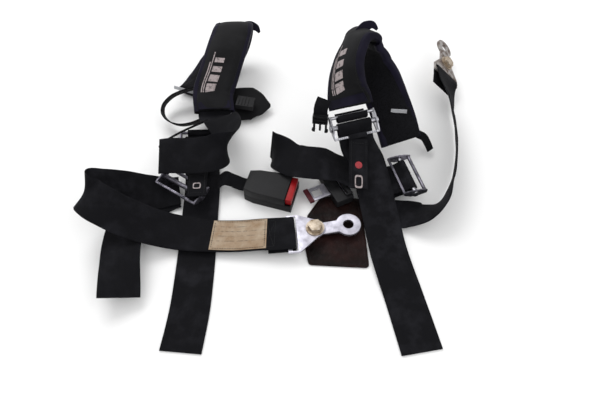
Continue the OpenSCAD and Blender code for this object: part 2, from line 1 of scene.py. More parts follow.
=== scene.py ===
"""A four point racing harness, unlatched and laid down in two halves: its looks.

Routes, seats and sizes are in millimetres, as in the design. mm() turns them into metres.
"""
import json
import math

import bmesh
import bpy
from mathutils import Matrix, Vector, noise
from mathutils.bvhtree import BVHTree

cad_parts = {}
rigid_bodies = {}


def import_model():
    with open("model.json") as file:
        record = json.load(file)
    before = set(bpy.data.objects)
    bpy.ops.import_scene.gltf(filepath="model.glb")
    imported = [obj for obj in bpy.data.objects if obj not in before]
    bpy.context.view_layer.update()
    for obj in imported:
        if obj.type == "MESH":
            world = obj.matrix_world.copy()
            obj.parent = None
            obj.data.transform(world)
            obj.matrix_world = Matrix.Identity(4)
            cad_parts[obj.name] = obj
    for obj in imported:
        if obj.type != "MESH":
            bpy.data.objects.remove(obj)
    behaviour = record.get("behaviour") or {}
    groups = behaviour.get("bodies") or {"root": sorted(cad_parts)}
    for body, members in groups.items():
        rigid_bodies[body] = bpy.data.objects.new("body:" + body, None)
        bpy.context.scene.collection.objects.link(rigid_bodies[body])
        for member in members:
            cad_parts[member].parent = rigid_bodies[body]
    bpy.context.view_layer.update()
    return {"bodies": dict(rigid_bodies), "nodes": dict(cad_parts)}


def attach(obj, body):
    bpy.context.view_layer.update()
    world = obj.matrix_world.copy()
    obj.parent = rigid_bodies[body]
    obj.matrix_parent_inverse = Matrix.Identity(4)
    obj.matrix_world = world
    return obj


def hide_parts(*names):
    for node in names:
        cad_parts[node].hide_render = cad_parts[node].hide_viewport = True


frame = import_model()
scene = bpy.context.scene
TAU = 2 * math.pi

# ---- the design's driving sizes, in millimetres ----
WEB_W, WEB_T = 50, 1.6
THIN_W, TAB_W, TAB_T = 20, 27, 2.4
PAD_W, PAD_OUTER_T, PAD_INNER_T, PAD_GAP = 61, 6, 4, 1.2
BAR_R = 3.5
WRAP_R = BAR_R + 1.3
LAYOUT_SHIFT = Vector((11, -49.8, 0))


def mm(v):
    """A layout point in millimetres as a point of the row frame in metres."""
    return (Vector(v) + LAYOUT_SHIFT) / 1000


# ---- camera ----
LENS = 30
CAMERA_PITCH = math.radians(53)
CAMERA_DISTANCE = 0.714


def make_camera():
    target = mm((0, 0, 0))
    back = Vector((0, -math.cos(CAMERA_PITCH), math.sin(CAMERA_PITCH)))
    data = bpy.data.cameras.new("camera")
    data.lens = LENS
    data.sensor_width = 36
    camera = bpy.data.objects.new("camera", data)
    camera.location = target + back * CAMERA_DISTANCE
    camera.rotation_euler = (math.pi / 2 - CAMERA_PITCH, 0, 0)
    scene.collection.objects.link(camera)
    scene.camera = camera


make_camera()

# ---- where the hardware sits: (position, rotation in degrees) ----
LEFT_ADJ = ((-148, 99, 20), (4, 0, 2))
RIGHT_ADJ = ((76, 79, 72), (33, 0, 17))
RIGHT_LAP_ADJ = ((152, 26, 24), (0, 0, -76))
LEFT_ANCHOR = ((20, -59, 15), (0, 0, 5))
RIGHT_ANCHOR = ((246, 262, 34), (40, 0, 80))
ACROSS = (1, 0, 0)
FLAT = (0, -1, 0)


def seat_matrix(seat):
    spin = [Matrix.Rotation(math.radians(a), 3, axis) for a, axis in zip(seat[1], "XYZ")]
    return spin[2] @ spin[1] @ spin[0]


def seat_point(seat, p):
    return Vector(seat[0]) + seat_matrix(seat) @ Vector(p)


def seat_stations(seat, stations):
    """Stations given in a seat's own frame, moved into the layout."""
    spin = seat_matrix(seat)
    return [(seat_point(seat, s[0]), spin @ Vector(s[1])) for s in stations]


def facing(side, *points):
    """Stations that all have the same direction across the strap."""
    return [(point, side) for point in points]


def turn(radius, x0, first, last, step, y=None):
    """Stations round a bar: about X when y is None, or about Y at x0."""
    stations = []
    for angle in range(first, last + (1 if step > 0 else -1), step):
        c, s = math.cos(math.radians(angle)) * radius, math.sin(math.radians(angle)) * radius
        stations.append(((0, c, s), ACROSS) if y is None else ((x0 + c, y, s), y_side(y)))
    return stations


def y_side(y):
    return FLAT if y else (0, 1, 0)


# ---- strap routes: (centre, direction across the strap, optional width scale) ----
WRAP = facing(ACROSS, (0, -30, -9), (0, -16, -7.5)) + turn(WRAP_R, 0, -90, 120, 30)
WRAP_EXIT = facing(ACROSS, (0, -8.5, -0.6), (0, -14, -2.6), (0, -22, -4.5))
PAD_TIE = facing(ACROSS, (0, 21, -7), (0, 15, -7), (0, 8.6, -5.5), (0, 6.9, 0), (0, 9, 5),
                 (0, 15, 6))

LEFT_SHOULDER = seat_stations(LEFT_ADJ, WRAP + WRAP_EXIT) + facing(
    ACROSS, (-145, 58, 11), (-142, 36, 6.5), (-140, 12, 5), (-139, -12, 4.4), (-138.5, -32, 3),
    (-138, -50, 1.4), (-137, -64, 1), (-136, -90, 1), (-135, -130, 1), (-135, -170, 1)) + [
    ((-137, -200, 1), (1, 0.02, 0)), ((-139, -222, 1), (1, 0.03, 0))]

RIGHT_SHOULDER = [((97, 24, 31), (1, 0.14, 0)), ((92, 38, 38.5), (1, 0.2, 0))] + \
    seat_stations(RIGHT_ADJ, WRAP + WRAP_EXIT) + [
    ((93, 36, 45), (1, 0.16, 0)), ((101, 8, 30), (1, 0.1, 0)), ((108, -22, 15), (1, 0.06, 0)),
    ((112, -50, 8.4), (1, 0.06, 0)), ((116, -84, 4.8), (1, 0.1, 0)),
    ((122, -118, 3.8), (1, 0.15, 0)), ((129, -150, 1.3), (1, 0.17, 0)),
    ((136, -188, 1), (1, 0.17, 0)), ((142, -222, 1), (1, 0.17, 0))]

LEFT_LAP = seat_stations(LEFT_ANCHOR, facing(FLAT, (-64, -6, -4.4), (-44, -6, -3.8))
                         + turn(3.6, -31.1, -90, 90, 30, -6) + [((-44, -6, 3.8), FLAT)]) + [
    ((-52, -68, 15), FLAT), ((-86, -68, 11), FLAT), ((-122, -66, 9), FLAT),
    ((-159, -64, 13), (-0.06, -0.98, -0.16)), ((-192, -64, 27), (-0.07, -0.96, -0.27)),
    ((-219, -63, 44), (-0.2, -0.88, -0.44)), ((-244, -58, 60), (-0.3, -0.84, -0.46)),
    ((-264, -49, 68), (-0.28, -0.84, -0.48)), ((-274, -39, 69), (-0.24, -0.85, -0.48)),
    ((-273, -29, 65), (-0.2, -0.82, -0.53)), ((-260, -21, 55), (-0.2, -0.78, -0.58)),
    ((-238, -10, 38), (-0.15, -0.82, -0.52)), ((-212, -1, 20), (-0.15, -0.94, -0.28)),
    ((-190, 8, 8.8), (-0.1, -1, -0.04)), ((-172, 12, 7.2), (-0.1, -1, 0))]

LEFT_LAP_TAIL = [((-177, 8, 3), (0.1, -1, 0)), ((-190, 2, 2.4), (0.25, -0.97, 0)),
    ((-207, -10, 2.6), (0.6, -0.8, 0)), ((-223, -32, 6), (0.88, -0.47, 0.05)),
    ((-231, -56, 16), (0.97, -0.24, 0)), ((-230, -83, 22), (0.99, -0.1, 0)),
    ((-225, -117, 25), (1, 0.05, 0)), ((-219, -150, 24), (0.9, 0.3, -0.2)),
    ((-217, -163, 22), (0.83, 0.46, -0.3))]

CROSSOVER = [((-133.5, 147.5, 25), (0.99, 0.1, -0.1)), ((-131, 139, 27), (0.98, 0.18, 0)),
    ((-121, 124, 40), (0.97, 0.16, 0.2)), ((-109, 102, 47), (0.85, 0.3, 0.42)),
    ((-102, 78, 52), (0.64, 0.48, 0.6)), ((-103, 58, 54), (0.4, 0.66, 0.64)),
    ((-116, 44, 54), (0.16, 0.78, 0.6)), ((-138, 38, 53), (0, 0.82, 0.57)),
    ((-162, 38, 52), (0, 0.82, 0.57)), ((-184, 40, 50), (0.05, 0.84, 0.54)),
    ((-198, 42, 46), (0.08, 0.86, 0.5))]

RIGHT_LAP = [((99, -24, 1.4), FLAT), ((122, -25, 1.6), FLAT), ((148, -29, 6), (0.06, -0.98, 0.14)),
    ((170, -33, 15), (0.03, -0.88, 0.46)), ((190, -24, 23), (-0.14, -0.72, 0.68)),
    ((208, 4, 27), (-0.24, -0.58, 0.78)), ((227, 58, 27), (-0.27, -0.6, 0.75)),
    ((237, 118, 27), (-0.26, -0.64, 0.72)), ((239, 168, 29), (-0.3, -0.62, 0.72)),
    ((240, 198, 31), (-0.55, -0.25, 0.72))] + \
    seat_stations(RIGHT_ANCHOR, [((-40, 0, 3.9), (0, 1, 0))] + turn(3.6, -31.1, 90, -90, -30, 0)
                  + [((-46, 0, -4.2), (0, 1, 0)), ((-64, 0, -5), (0, 1, 0))])

RIGHT_LAP_TAIL = [((118, 17, 8), (0.1, -0.97, 0)), ((134, 22, 12), (0.18, -0.97, 0))] + \
    seat_stations(RIGHT_LAP_ADJ, turn(WRAP_R, 0, -60, 150, 30)) + [
    ((134, 22, 20), (0.18, -0.97, 0)), ((110, 21, 20), (0.1, -0.98, 0)),
    ((80, 27, 24), (0, -1, 0)), ((54, 36, 29), (-0.04, -1, 0)), ((37, 34, 39), (0, -0.97, -0.24)),
    ((20, 31, 45), (0, -0.96, -0.28)), ((3, 35, 43), (0, -0.97, -0.2)),
    ((-12, 44, 37), (0.1, -0.99, -0.1)), ((-27, 59, 33), (0.34, -0.93, -0.05)),
    ((-42, 82, 28), (0.5, -0.85, 0), 0.9)]

LEFT_PAD = [((-134, 152, 27), (0.99, 0.1, -0.1)), ((-137, 180, 40), (0.98, 0.18, -0.1)),
    ((-129, 208, 54), (0.95, 0.26, -0.14)), ((-121, 238, 67), (0.95, 0.24, -0.14)),
    ((-114, 270, 77), (0.98, 0.14, -0.06)), ((-110, 294, 80), (0.99, 0.06, -0.02)),
    ((-110, 309, 74), (0.99, 0.04, 0)), ((-112, 316, 60), (0.99, 0.04, 0)),
    ((-118, 312, 42), (0.98, 0.1, 0)), ((-130, 297, 25), (0.97, 0.24, 0)),
    ((-146, 272, 15), (0.94, 0.34, 0)), ((-162, 240, 11.4), (0.92, 0.4, 0)),
    ((-175, 212, 12), (0.92, 0.38, 0))]

RIGHT_PAD = [((72, 100, 86), (0.98, 0.02, 0.16)), ((66, 120, 106), (0.76, -0.54, 0.36)),
    ((67, 140, 126), (0.52, -0.73, 0.44)), ((74, 157, 142), (0.34, -0.83, 0.44)),
    ((84, 171, 151), (0.24, -0.86, 0.44)), ((95, 178, 148), (0.26, -0.86, 0.4)),
    ((102, 176, 134), (0.4, -0.9, 0.1)), ((108, 166, 113), (0.6, -0.76, -0.1)),
    ((118, 150, 89), (0.82, -0.5, -0.2)), ((131, 132, 64), (0.92, -0.3, -0.22)),
    ((144, 111, 41), (0.97, -0.1, -0.2)), ((152, 92, 23), (0.98, 0.1, -0.1))]

LEFT_LOOP = [((-162, 203, 34), (0, -0.62, 0.78)), ((-186, 199, 30), (0, -0.62, 0.78)),
    ((-207, 189, 26), (0.05, -0.62, 0.78)), ((-217, 173, 23), (0.1, -0.6, 0.78)),
    ((-216, 155, 20), (0, -0.6, 0.8)), ((-204, 140, 18), (-0.05, -0.6, 0.8)),
    ((-188, 134, 17), (0, -0.6, 0.8)), ((-170, 137, 17), (0, -0.6, 0.8)),
    ((-155, 143, 19), (0, -0.6, 0.8))]
THIN_STRAP = facing((0.2, -0.6, 0.78), (-142, 125, 35), (-154, 116, 36), (-178, 99, 36),
                    (-196, 84, 35), (-206, 73, 33))
PAD_TAIL = [((177, 104, 28), (0.5, 0.8, 0.2)), ((187, 101, 24), (0.5, 0.8, 0.2)),
            ((193, 95, 17), (0.5, 0.8, 0.2)), ((198, 88, 9), (0.6, 0.75, 0))]
PRONG_STRAP = facing((0.98, -0.17, 0), (34, 104, 97), (31, 98, 93), (29, 93, 87), (29, 91, 79))
BUCKLE_STRAP = [((-70, 17, 12), (0.24, 0.97, 0), 0.75), ((-84, 20, 12), (0.24, 0.97, 0), 0.75),
    ((-97, 25, 14), (0.1, 0.97, 0.2), 0.7), ((-106, 24, 20), (0.1, 0.97, 0.1), 0.8),
    ((-118, 22, 12), (0, 1, 0), 0.9)]
CHEST_STRAP = [((-110, 180, 17.5), (0.1, 1, 0.3)), ((-78, 184, 16), (0.05, 1, 0.3)),
               ((-60, 183, 14), (0, 1, 0.3), 0.6), ((-48, 183, 12), (0, 1, 0.3), 0.08)]
LABEL = facing(FLAT, (-44, -68, 17.9), (-56, -68, 16.1), (-86, -68, 12.4), (-118, -66, 10.5))
LEFT_HEM = facing((0, 0.2, 1), (-208, 217, 22), (-187, 211, 20), (-166, 204, 19))
RIGHT_HEM = facing((0.1, 0.3, 0.9), (134, 119, 61), (157, 116, 62))
CURL_SIDE = (0, 0.5, 0.86)
LEFT_CURL = [((-96, 311, 72), CURL_SIDE), ((-83, 314, 73), CURL_SIDE, 0.9),
             ((-74, 313, 69), CURL_SIDE, 0.7), ((-69, 310, 62), CURL_SIDE, 0.25)]
RIGHT_CURL = [((82, 180, 148), CURL_SIDE), ((92, 188, 156), CURL_SIDE, 0.9),
              ((102, 190, 157), CURL_SIDE, 0.65), ((109, 188, 151), CURL_SIDE, 0.25)]
FLAP_OUTLINE = [(34, 0), (16, -30), (13, -80), (16, -101), (84, -105), (82, -50), (80, -4)]


def pull_tab_route(seat, end, rise):
    start, end = seat_point(seat, (0, -22, 2.6)), Vector(end)
    side, up = seat_matrix(seat) @ Vector(ACROSS), Vector((0, 0, rise))
    return [(start, side), (start * 0.75 + end * 0.25 + up, side),
            (start * 0.4 + end * 0.6 + up, side), (end, side)]


# ---- ribbons: the design's sweep, with the same curve between the stations ----
class Ring:
    """One cross-section of a strap: its centre, its two directions, its width scale and place."""

    def __init__(self, centre, along, side, scale, place):
        self.centre, self.along, self.side = centre, along, side
        self.normal = along.cross(side)
        self.scale, self.place = scale, place

    def at(self, across, height):
        return mm(self.centre + self.side * (across * self.scale) + self.normal * height)


def rings_of(route, pitch):
    """Rings about pitch apart along a route, in millimetres."""
    points = [Vector(s[0]) for s in route]
    sides = [Vector(s[1]).normalized() for s in route]
    scales = [s[2] if len(s) > 2 else 1.0 for s in route]
    chords = [points[i + 1] - points[i] for i in range(len(points) - 1)]
    lengths = [c.length for c in chords]

    def heading(i):
        if i == 0:
            return chords[0] / lengths[0]
        if i == len(points) - 1:
            return chords[-1] / lengths[-1]
        d0, d1 = lengths[i - 1], lengths[i]
        return (chords[i] / d1 * d0 + chords[i - 1] / d0 * d1) / (d0 + d1)

    rings, place = [], 0.0
    for i, d in enumerate(lengths):
        count = max(1, math.ceil(d / pitch))
        h0, h1 = heading(i), heading(i + 1)
        last = i == len(lengths) - 1
        for k in range(count + (1 if last else 0)):
            t = k / count
            centre = (points[i] * (2 * t**3 - 3 * t * t + 1) + h0 * d * (t**3 - 2 * t * t + t)
                      + points[i + 1] * (3 * t * t - 2 * t**3) + h1 * d * (t**3 - t * t))
            along = ((points[i] - points[i + 1]) * (6 * t * t - 6 * t) / d
                     + h0 * (3 * t * t - 4 * t + 1) + h1 * (3 * t * t - 2 * t)).normalized()
            raw = sides[i].lerp(sides[i + 1], t)
            side = (raw - along * raw.dot(along)).normalized()
            rings.append(Ring(centre, along, side, scales[i] + (scales[i + 1] - scales[i]) * t, 0))
    for before, ring in zip(rings, rings[1:]):
        place += (ring.centre - before.centre).length
        ring.place = place
    return rings


STRAP_UV = "strap"
STRAP_COLUMNS = 12
STRAP_PITCH = 3.0
DETAIL_PITCH = 2.5
# A strap that lies loose sways off its route; the waves are these many millimetres long
WOBBLE, WOBBLE_ACROSS, WOBBLE_ALONG = 0.3, 26, 24


def strap_profile(width, thick):
    """Closed outline (across, height) of a woven strap with round edges."""
    e = thick / 2
    flat = width / 2 - e
    line = [flat - 2 * flat * k / STRAP_COLUMNS for k in range(STRAP_COLUMNS + 1)]
    corner = e * math.sqrt(0.5)
    return ([(flat + corner, corner)] + [(x, e) for x in line] + [(-flat - corner, corner)]
            + [(-width / 2, 0)] + [(-flat - corner, -corner)] + [(x, -e) for x in reversed(line)]
            + [(flat + corner, -corner)] + [(width / 2, 0)])


def add_object(name, mesh_maker, materials, smooth=50):
    """A new mesh object from a bmesh that mesh_maker fills."""
    mesh = bpy.data.meshes.new(name)
    bm = bmesh.new()
    mesh_maker(bm)
    bm.normal_update()
    bm.to_mesh(mesh)
    bm.free()
    piece = bpy.data.objects.new(name, mesh)
    scene.collection.objects.link(piece)
    for m in materials:
        mesh.materials.append(m)
    mesh.shade_smooth()
    if smooth:
        mesh.set_sharp_from_angle(angle=math.radians(smooth))
    return piece


def sweep(bm, rings, profile, wobble=0.0, seed=0):
    """Sweeps a closed profile along rings, with UVs in centimetres across and along."""
    uv = bm.loops.layers.uv.new(STRAP_UV)
    rows = []
    for ring in rings:
        row = []
        for across, height in profile:
            spot = Vector((across / WOBBLE_ACROSS, ring.place / WOBBLE_ALONG, seed * 7.3))
            sway = wobble * noise.noise(spot)
            row.append((bm.verts.new(ring.at(across, height + sway)), across, ring.place))
        rows.append(row)
    n = len(profile)
    for a, b in zip(rows, rows[1:]):
        for j in range(n):
            quad = [a[j], b[j], b[(j + 1) % n], a[(j + 1) % n]]
            face = bm.faces.new([q[0] for q in quad])
            for loop, q in zip(face.loops, quad):
                loop[uv].uv = (q[1] / 10, q[2] / 10)
    for row, flip in ((rows[0], False), (rows[-1], True)):
        verts = [q[0] for q in row]
        face = bm.faces.new(verts[::-1] if flip else verts)
        for loop in face.loops:
            q = next(x for x in row if x[0] == loop.vert)
            loop[uv].uv = (q[1] / 10, q[2] / 10)


def nearest(rings, place):
    """The ring closest to one place along a strap."""
    return min(rings, key=lambda r: abs(r.place - place))


def body_name(node):
    """The body that a CAD node belongs to."""
    parent = frame["nodes"][node].parent
    return next(name for name, empty in frame["bodies"].items() if empty == parent)


def finish_piece(piece, body, slot, *nodes):
    """Attaches a piece to its body and hides the CAD nodes that it stands for; slot is not used.
    """
    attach(piece, body)
    if nodes:
        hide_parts(*nodes)


def strap(node, route, width, thick, material, slot, wobble):
    """A woven strap in place of its CAD node."""
    rings = rings_of(route, STRAP_PITCH)
    profile = strap_profile(width, thick)
    seed = len(bpy.data.objects)
    piece = add_object(node + "_cloth",
                       lambda bm: sweep(bm, rings, profile, wobble, seed), [material])
    finish_piece(piece, body_name(node), slot, node)


def band(name, rings, width, thick, material, body, slot):
    """A cloth band that stands for no CAD node."""
    profile = strap_profile(width, thick)
    piece = add_object(name, lambda bm: sweep(bm, rings, profile), [material])
    finish_piece(piece, body, slot)


# ---- materials ----
class Shader:
    """A short way to build a node material: every call adds a node and returns its output."""

    def __init__(self, name, color, roughness, metallic=0.0, **fixed):
        self.material = bpy.data.materials.new(name)
        self.material.use_nodes = True
        self.tree = self.material.node_tree
        self.bsdf = self.tree.nodes["Principled BSDF"]
        self.bsdf.inputs["Base Color"].default_value = (*color, 1)
        self.bsdf.inputs["Roughness"].default_value = roughness
        self.bsdf.inputs["Metallic"].default_value = metallic
        for key, value in fixed.items():
            self.bsdf.inputs[key.replace("_", " ")].default_value = value
        coords = self.tree.nodes.new("ShaderNodeTexCoord")
        self.place = coords.outputs["Object"]

    def node(self, kind, output=0, settings=None, **inputs):
        made = self.tree.nodes.new(kind)
        for key, value in (settings or {}).items():
            setattr(made, key, value)
        for key, value in inputs.items():
            # n3=... means input number 3; any other key is the input's name
            numbered = key.startswith("n")
            socket = made.inputs[int(key[1:]) if numbered else key.replace("_", " ")]
            if isinstance(value, bpy.types.NodeSocket):
                self.tree.links.new(value, socket)
            else:
                socket.default_value = value
        return made.outputs[output]

    def math(self, operation, a, b=0.0):
        return self.node("ShaderNodeMath", settings={"operation": operation}, n0=a, n1=b)

    def times(self, a, b):
        return self.math("MULTIPLY", a, b)

    def uv(self):
        """Centimetres across and along a strap."""
        made = self.tree.nodes.new("ShaderNodeUVMap")
        made.uv_map = STRAP_UV
        parts = self.tree.nodes.new("ShaderNodeSeparateXYZ")
        self.tree.links.new(made.outputs[0], parts.inputs[0])
        return parts.outputs[0], parts.outputs[1]

    def noise(self, scale, detail=3.0, roughness=0.55, vector=None):
        return self.node("ShaderNodeTexNoise", "Fac", Vector=vector or self.place, Scale=scale,
                         Detail=detail, Roughness=roughness)

    def ramp(self, value, low, high, from_low=0.0, from_high=1.0):
        """value mapped from its own range to low..high."""
        return self.node("ShaderNodeMapRange", Value=value, n1=from_low, n2=from_high, n3=low,
                         n4=high)

    def mix(self, fac, a, b):
        """Colour a where fac is 0 and b where it is 1."""
        made = self.tree.nodes.new("ShaderNodeMix")
        made.data_type = "RGBA"
        # Inputs 6 and 7 and output 2 are the node's colour sockets
        for index, value in ((0, fac), (6, a), (7, b)):
            socket = made.inputs[index]
            if isinstance(value, bpy.types.NodeSocket):
                self.tree.links.new(value, socket)
            else:
                socket.default_value = (*value, 1) if index else value
        return made.outputs[2]

    def color(self, output):
        self.tree.links.new(output, self.bsdf.inputs["Base Color"])

    def roughness(self, output):
        self.tree.links.new(output, self.bsdf.inputs["Roughness"])

    def bump(self, height, strength, distance):
        """Adds a bump on top of those already there; distance is in metres."""
        before = self.bsdf.inputs["Normal"]
        made = self.tree.nodes.new("ShaderNodeBump")
        made.inputs["Strength"].default_value = strength
        made.inputs["Distance"].default_value = distance
        if before.is_linked:
            self.tree.links.new(before.links[0].from_socket, made.inputs["Normal"])
        self.tree.links.new(height, made.inputs["Height"])
        self.tree.links.new(made.outputs[0], before)


def webbing_material(name, dark, light, rib=0.11, twill=0.2, panel=1.0):
    """Seat belt webbing: fine ribs along the strap under a chevron twill, dusty in places.

    rib, twill and panel are the spacings of the ribs, the twill and its zigzag, in centimetres.
    """
    s = Shader(name, dark, 0.7, Specular_IOR_Level=0.05, Sheen_Weight=0.01, Sheen_Roughness=0.5)
    across, along = s.uv()
    ribs = s.math("ABSOLUTE", s.math("SINE", s.times(across, TAU / 2 / rib)))
    zigzag = s.math("PINGPONG", across, panel / 2)
    slant = s.math("ADD", along, zigzag)
    cords = s.math("SINE", s.times(slant, TAU / twill))
    weave = s.math("ADD", s.times(ribs, 0.7), s.times(cords, 0.4))
    dust = s.noise(38, 5, 0.62)
    haze = s.noise(9, 2, 0.5)
    fac = s.times(s.ramp(dust, 0, 1, 0.46, 0.72), s.ramp(haze, 0.25, 1, 0.35, 0.65))
    lit = s.math("ADD", s.times(s.ramp(weave, 0, 1, -0.2, 1.0), 0.45), fac)
    s.color(s.mix(s.math("MINIMUM", lit, 1.0), dark, light))
    s.roughness(s.ramp(dust, 0.58, 0.82))
    s.bump(weave, 0.55, 0.0004)
    return s.material


def pad_material(name, dark, light, grain=900):
    """Smooth woven cover of the shoulder pads."""
    s = Shader(name, dark, 0.62, Specular_IOR_Level=0.09, Sheen_Weight=0.015, Sheen_Roughness=0.45)
    wear = s.noise(26, 4, 0.6)
    fine = s.noise(grain, 2, 0.5)
    s.color(s.mix(s.ramp(wear, 0, 1, 0.35, 0.75), dark, light))
    s.roughness(s.ramp(wear, 0.5, 0.75))
    s.bump(fine, 0.3, 0.0003)
    s.bump(s.noise(70, 3), 0.25, 0.0012)
    return s.material


def mesh_material(name, dark, light):
    """Open spacer mesh under the pads: a field of small round cells."""
    s = Shader(name, dark, 0.85, Specular_IOR_Level=0.1, Sheen_Weight=0.02)
    cell = s.node("ShaderNodeTexVoronoi", "Distance", Vector=s.place, Scale=420)
    wear = s.noise(30, 4)
    hole = s.ramp(cell, 0, 1, 0.15, 0.5)
    s.color(s.mix(s.times(hole, s.ramp(wear, 0.4, 1, 0.3, 0.7)), dark, light))
    s.bump(hole, 0.7, 0.0006)
    return s.material


def metal_material(name, bright, dull, roughness, spots=60, scratch=0.3):
    """Plated steel: streaks, fine scratches and duller patches."""
    s = Shader(name, bright, roughness, 1.0)
    patch = s.noise(spots, 5, 0.65)
    stretched = s.node("ShaderNodeMapping", Vector=s.place, Scale=(90, 900, 400))
    streak = s.noise(1, 3, 0.6, stretched)
    s.color(s.mix(s.ramp(patch, 0, 1, 0.42, 0.68), bright, dull))
    s.roughness(s.math("ADD", s.ramp(patch, roughness * 0.8, roughness * 1.7, 0.3, 0.7),
                       s.times(streak, 0.08)))
    s.bump(streak, scratch, 0.0002)
    return s.material


def plastic_material(name, dark, light, roughness=0.45, grain=1400):
    """Moulded plastic with a fine spark grain and rubbed patches."""
    s = Shader(name, dark, roughness, Specular_IOR_Level=0.17)
    rub = s.noise(34, 4, 0.6)
    s.color(s.mix(s.ramp(rub, 0, 1, 0.45, 0.75), dark, light))
    s.roughness(s.ramp(rub, roughness - 0.08, roughness + 0.14, 0.3, 0.7))
    s.bump(s.noise(grain, 2, 0.5), 0.25, 0.0002)
    return s.material


def leather_material(name, dark, light):
    """Worn brown leather: creases, cracks and paler rubbed spots."""
    s = Shader(name, dark, 0.5, Specular_IOR_Level=0.1)
    patch = s.noise(22, 6, 0.68)
    cracks = s.node("ShaderNodeTexVoronoi", "Distance", Vector=s.place, Scale=150,
                    settings={"feature": "DISTANCE_TO_EDGE"})
    crease = s.noise(85, 5, 0.7)
    s.color(s.mix(s.ramp(patch, 0, 1, 0.4, 0.74), dark, light))
    s.roughness(s.ramp(crease, 0.36, 0.66, 0.3, 0.7))
    s.bump(s.ramp(cracks, 0, 1, 0.0, 0.12), 0.4, 0.0005)
    s.bump(crease, 0.5, 0.0016)
    return s.material


def label_material(name):
    """Tan printed cloth, stained and rubbed, with faint smudged rows across it."""
    s = Shader(name, (0.36, 0.28, 0.2), 0.75, Specular_IOR_Level=0.2, Sheen_Weight=0.03)
    across, along = s.uv()
    stain = s.noise(42, 5, 0.66)
    blotch = s.noise(18, 3, 0.5)
    cloth = s.mix(s.ramp(stain, 0, 1, 0.36, 0.66), (0.4, 0.32, 0.235), (0.26, 0.17, 0.1))
    rows = s.math("SINE", s.times(across, TAU / 0.75))
    smear = s.noise(160, 3, 0.6)
    inside = s.math("LESS_THAN", s.math("ABSOLUTE", s.math("ADD", across, 0.1)), 1.25)
    ink = s.times(s.ramp(rows, 0, 1, 0.55, 0.95), s.ramp(smear, 0, 1, 0.42, 0.6))
    ink = s.times(s.times(ink, inside), s.ramp(blotch, 0.35, 0.8, 0.35, 0.6))
    s.color(s.mix(ink, cloth, (0.07, 0.055, 0.045)))
    threads = s.times(s.math("SINE", s.times(across, TAU / 0.06)),
                      s.math("SINE", s.times(along, TAU / 0.06)))
    s.bump(threads, 0.4, 0.0002)
    return s.material


def thread_material(name, tone):
    """Twisted sewing thread."""
    s = Shader(name, tone, 0.6, Specular_IOR_Level=0.2)
    s.bump(s.noise(2600, 2), 0.4, 0.0001)
    s.color(s.mix(s.ramp(s.noise(90), 0, 1, 0.4, 0.7), tone, tuple(1.6 * c for c in tone)))
    return s.material


def print_material(name, tone, worn):
    """Rubbery print, cracked and rubbed away to the cloth in places."""
    s = Shader(name, tone, 0.5)
    rub = s.noise(240, 5, 0.7)
    s.color(s.mix(s.ramp(rub, 0, 1, 0.5, 0.66), tone, worn))
    s.bump(rub, 0.3, 0.0002)
    return s.material


WEBBING = webbing_material("webbing", (0.0026, 0.0026, 0.0034), (0.014, 0.014, 0.017))
TAPE = webbing_material("narrow_tape", (0.003, 0.003, 0.0038), (0.012, 0.012, 0.014),
                        0.08, 0.16, 0.6)
GREY_TAPE = webbing_material("grey_tape", (0.3, 0.3, 0.32), (0.52, 0.53, 0.55), 0.07, 0.14, 0.5)
PAD_CLOTH = pad_material("pad_cloth", (0.0045, 0.0045, 0.0052), (0.012, 0.012, 0.0135))
BINDING = pad_material("binding_cloth", (0.0036, 0.003, 0.0085), (0.0105, 0.009, 0.021), 1500)
PAD_MESH = mesh_material("pad_mesh", (0.002, 0.002, 0.0026), (0.007, 0.007, 0.009))
THIN_CLOTH = pad_material("thin_cloth", (0.0032, 0.0032, 0.0036), (0.009, 0.009, 0.01), 1100)
CHROME = metal_material("chrome_steel", (0.42, 0.42, 0.45), (0.1, 0.1, 0.11), 0.26)
DULL_CHROME = metal_material("dull_chrome_steel", (0.22, 0.21, 0.25), (0.05, 0.05, 0.06), 0.34)
PLATED = metal_material("plated_steel", (0.56, 0.55, 0.62), (0.36, 0.35, 0.4), 0.36)
BARE = metal_material("worn_steel", (0.4, 0.38, 0.37), (0.13, 0.09, 0.07), 0.5, 95, 0.6)
PASSIVATED = metal_material("yellow_zinc", (0.5, 0.43, 0.35), (0.27, 0.2, 0.13), 0.4, 130)
SPRING = metal_material("spring_steel", (0.5, 0.5, 0.52), (0.3, 0.3, 0.32), 0.3)
BLACK_PLASTIC = plastic_material("black_plastic", (0.006, 0.006, 0.0068), (0.016, 0.016, 0.0175))
RED_PLASTIC = plastic_material("red_plastic", (0.28, 0.003, 0.005), (0.16, 0.003, 0.005),
                               0.36, 900)
MAROON_PLASTIC = plastic_material("maroon_plastic", (0.05, 0.006, 0.01), (0.09, 0.02, 0.025))
WHITE_PLASTIC = plastic_material("white_plastic", (0.62, 0.62, 0.58), (0.5, 0.5, 0.46))
LEATHER = leather_material("brown_leather", (0.0042, 0.0024, 0.0022), (0.022, 0.0075, 0.0065))
LABEL_CLOTH = label_material("label_cloth")
DARK_THREAD = thread_material("dark_thread", (0.0095, 0.0095, 0.0105))
GREY_PRINT = print_material("grey_print", (0.32, 0.27, 0.27), (0.04, 0.034, 0.035))
RED_PRINT = print_material("red_print", (0.3, 0.012, 0.02), (0.12, 0.01, 0.012))


# ---- stitches: short raised threads along a line of points ----
# Thread length, gap and radius in millimetres, and the sides of a thread's section
STITCH_LENGTH, STITCH_GAP, STITCH_R, STITCH_SIDES = 2.3, 1.0, 0.3, 6


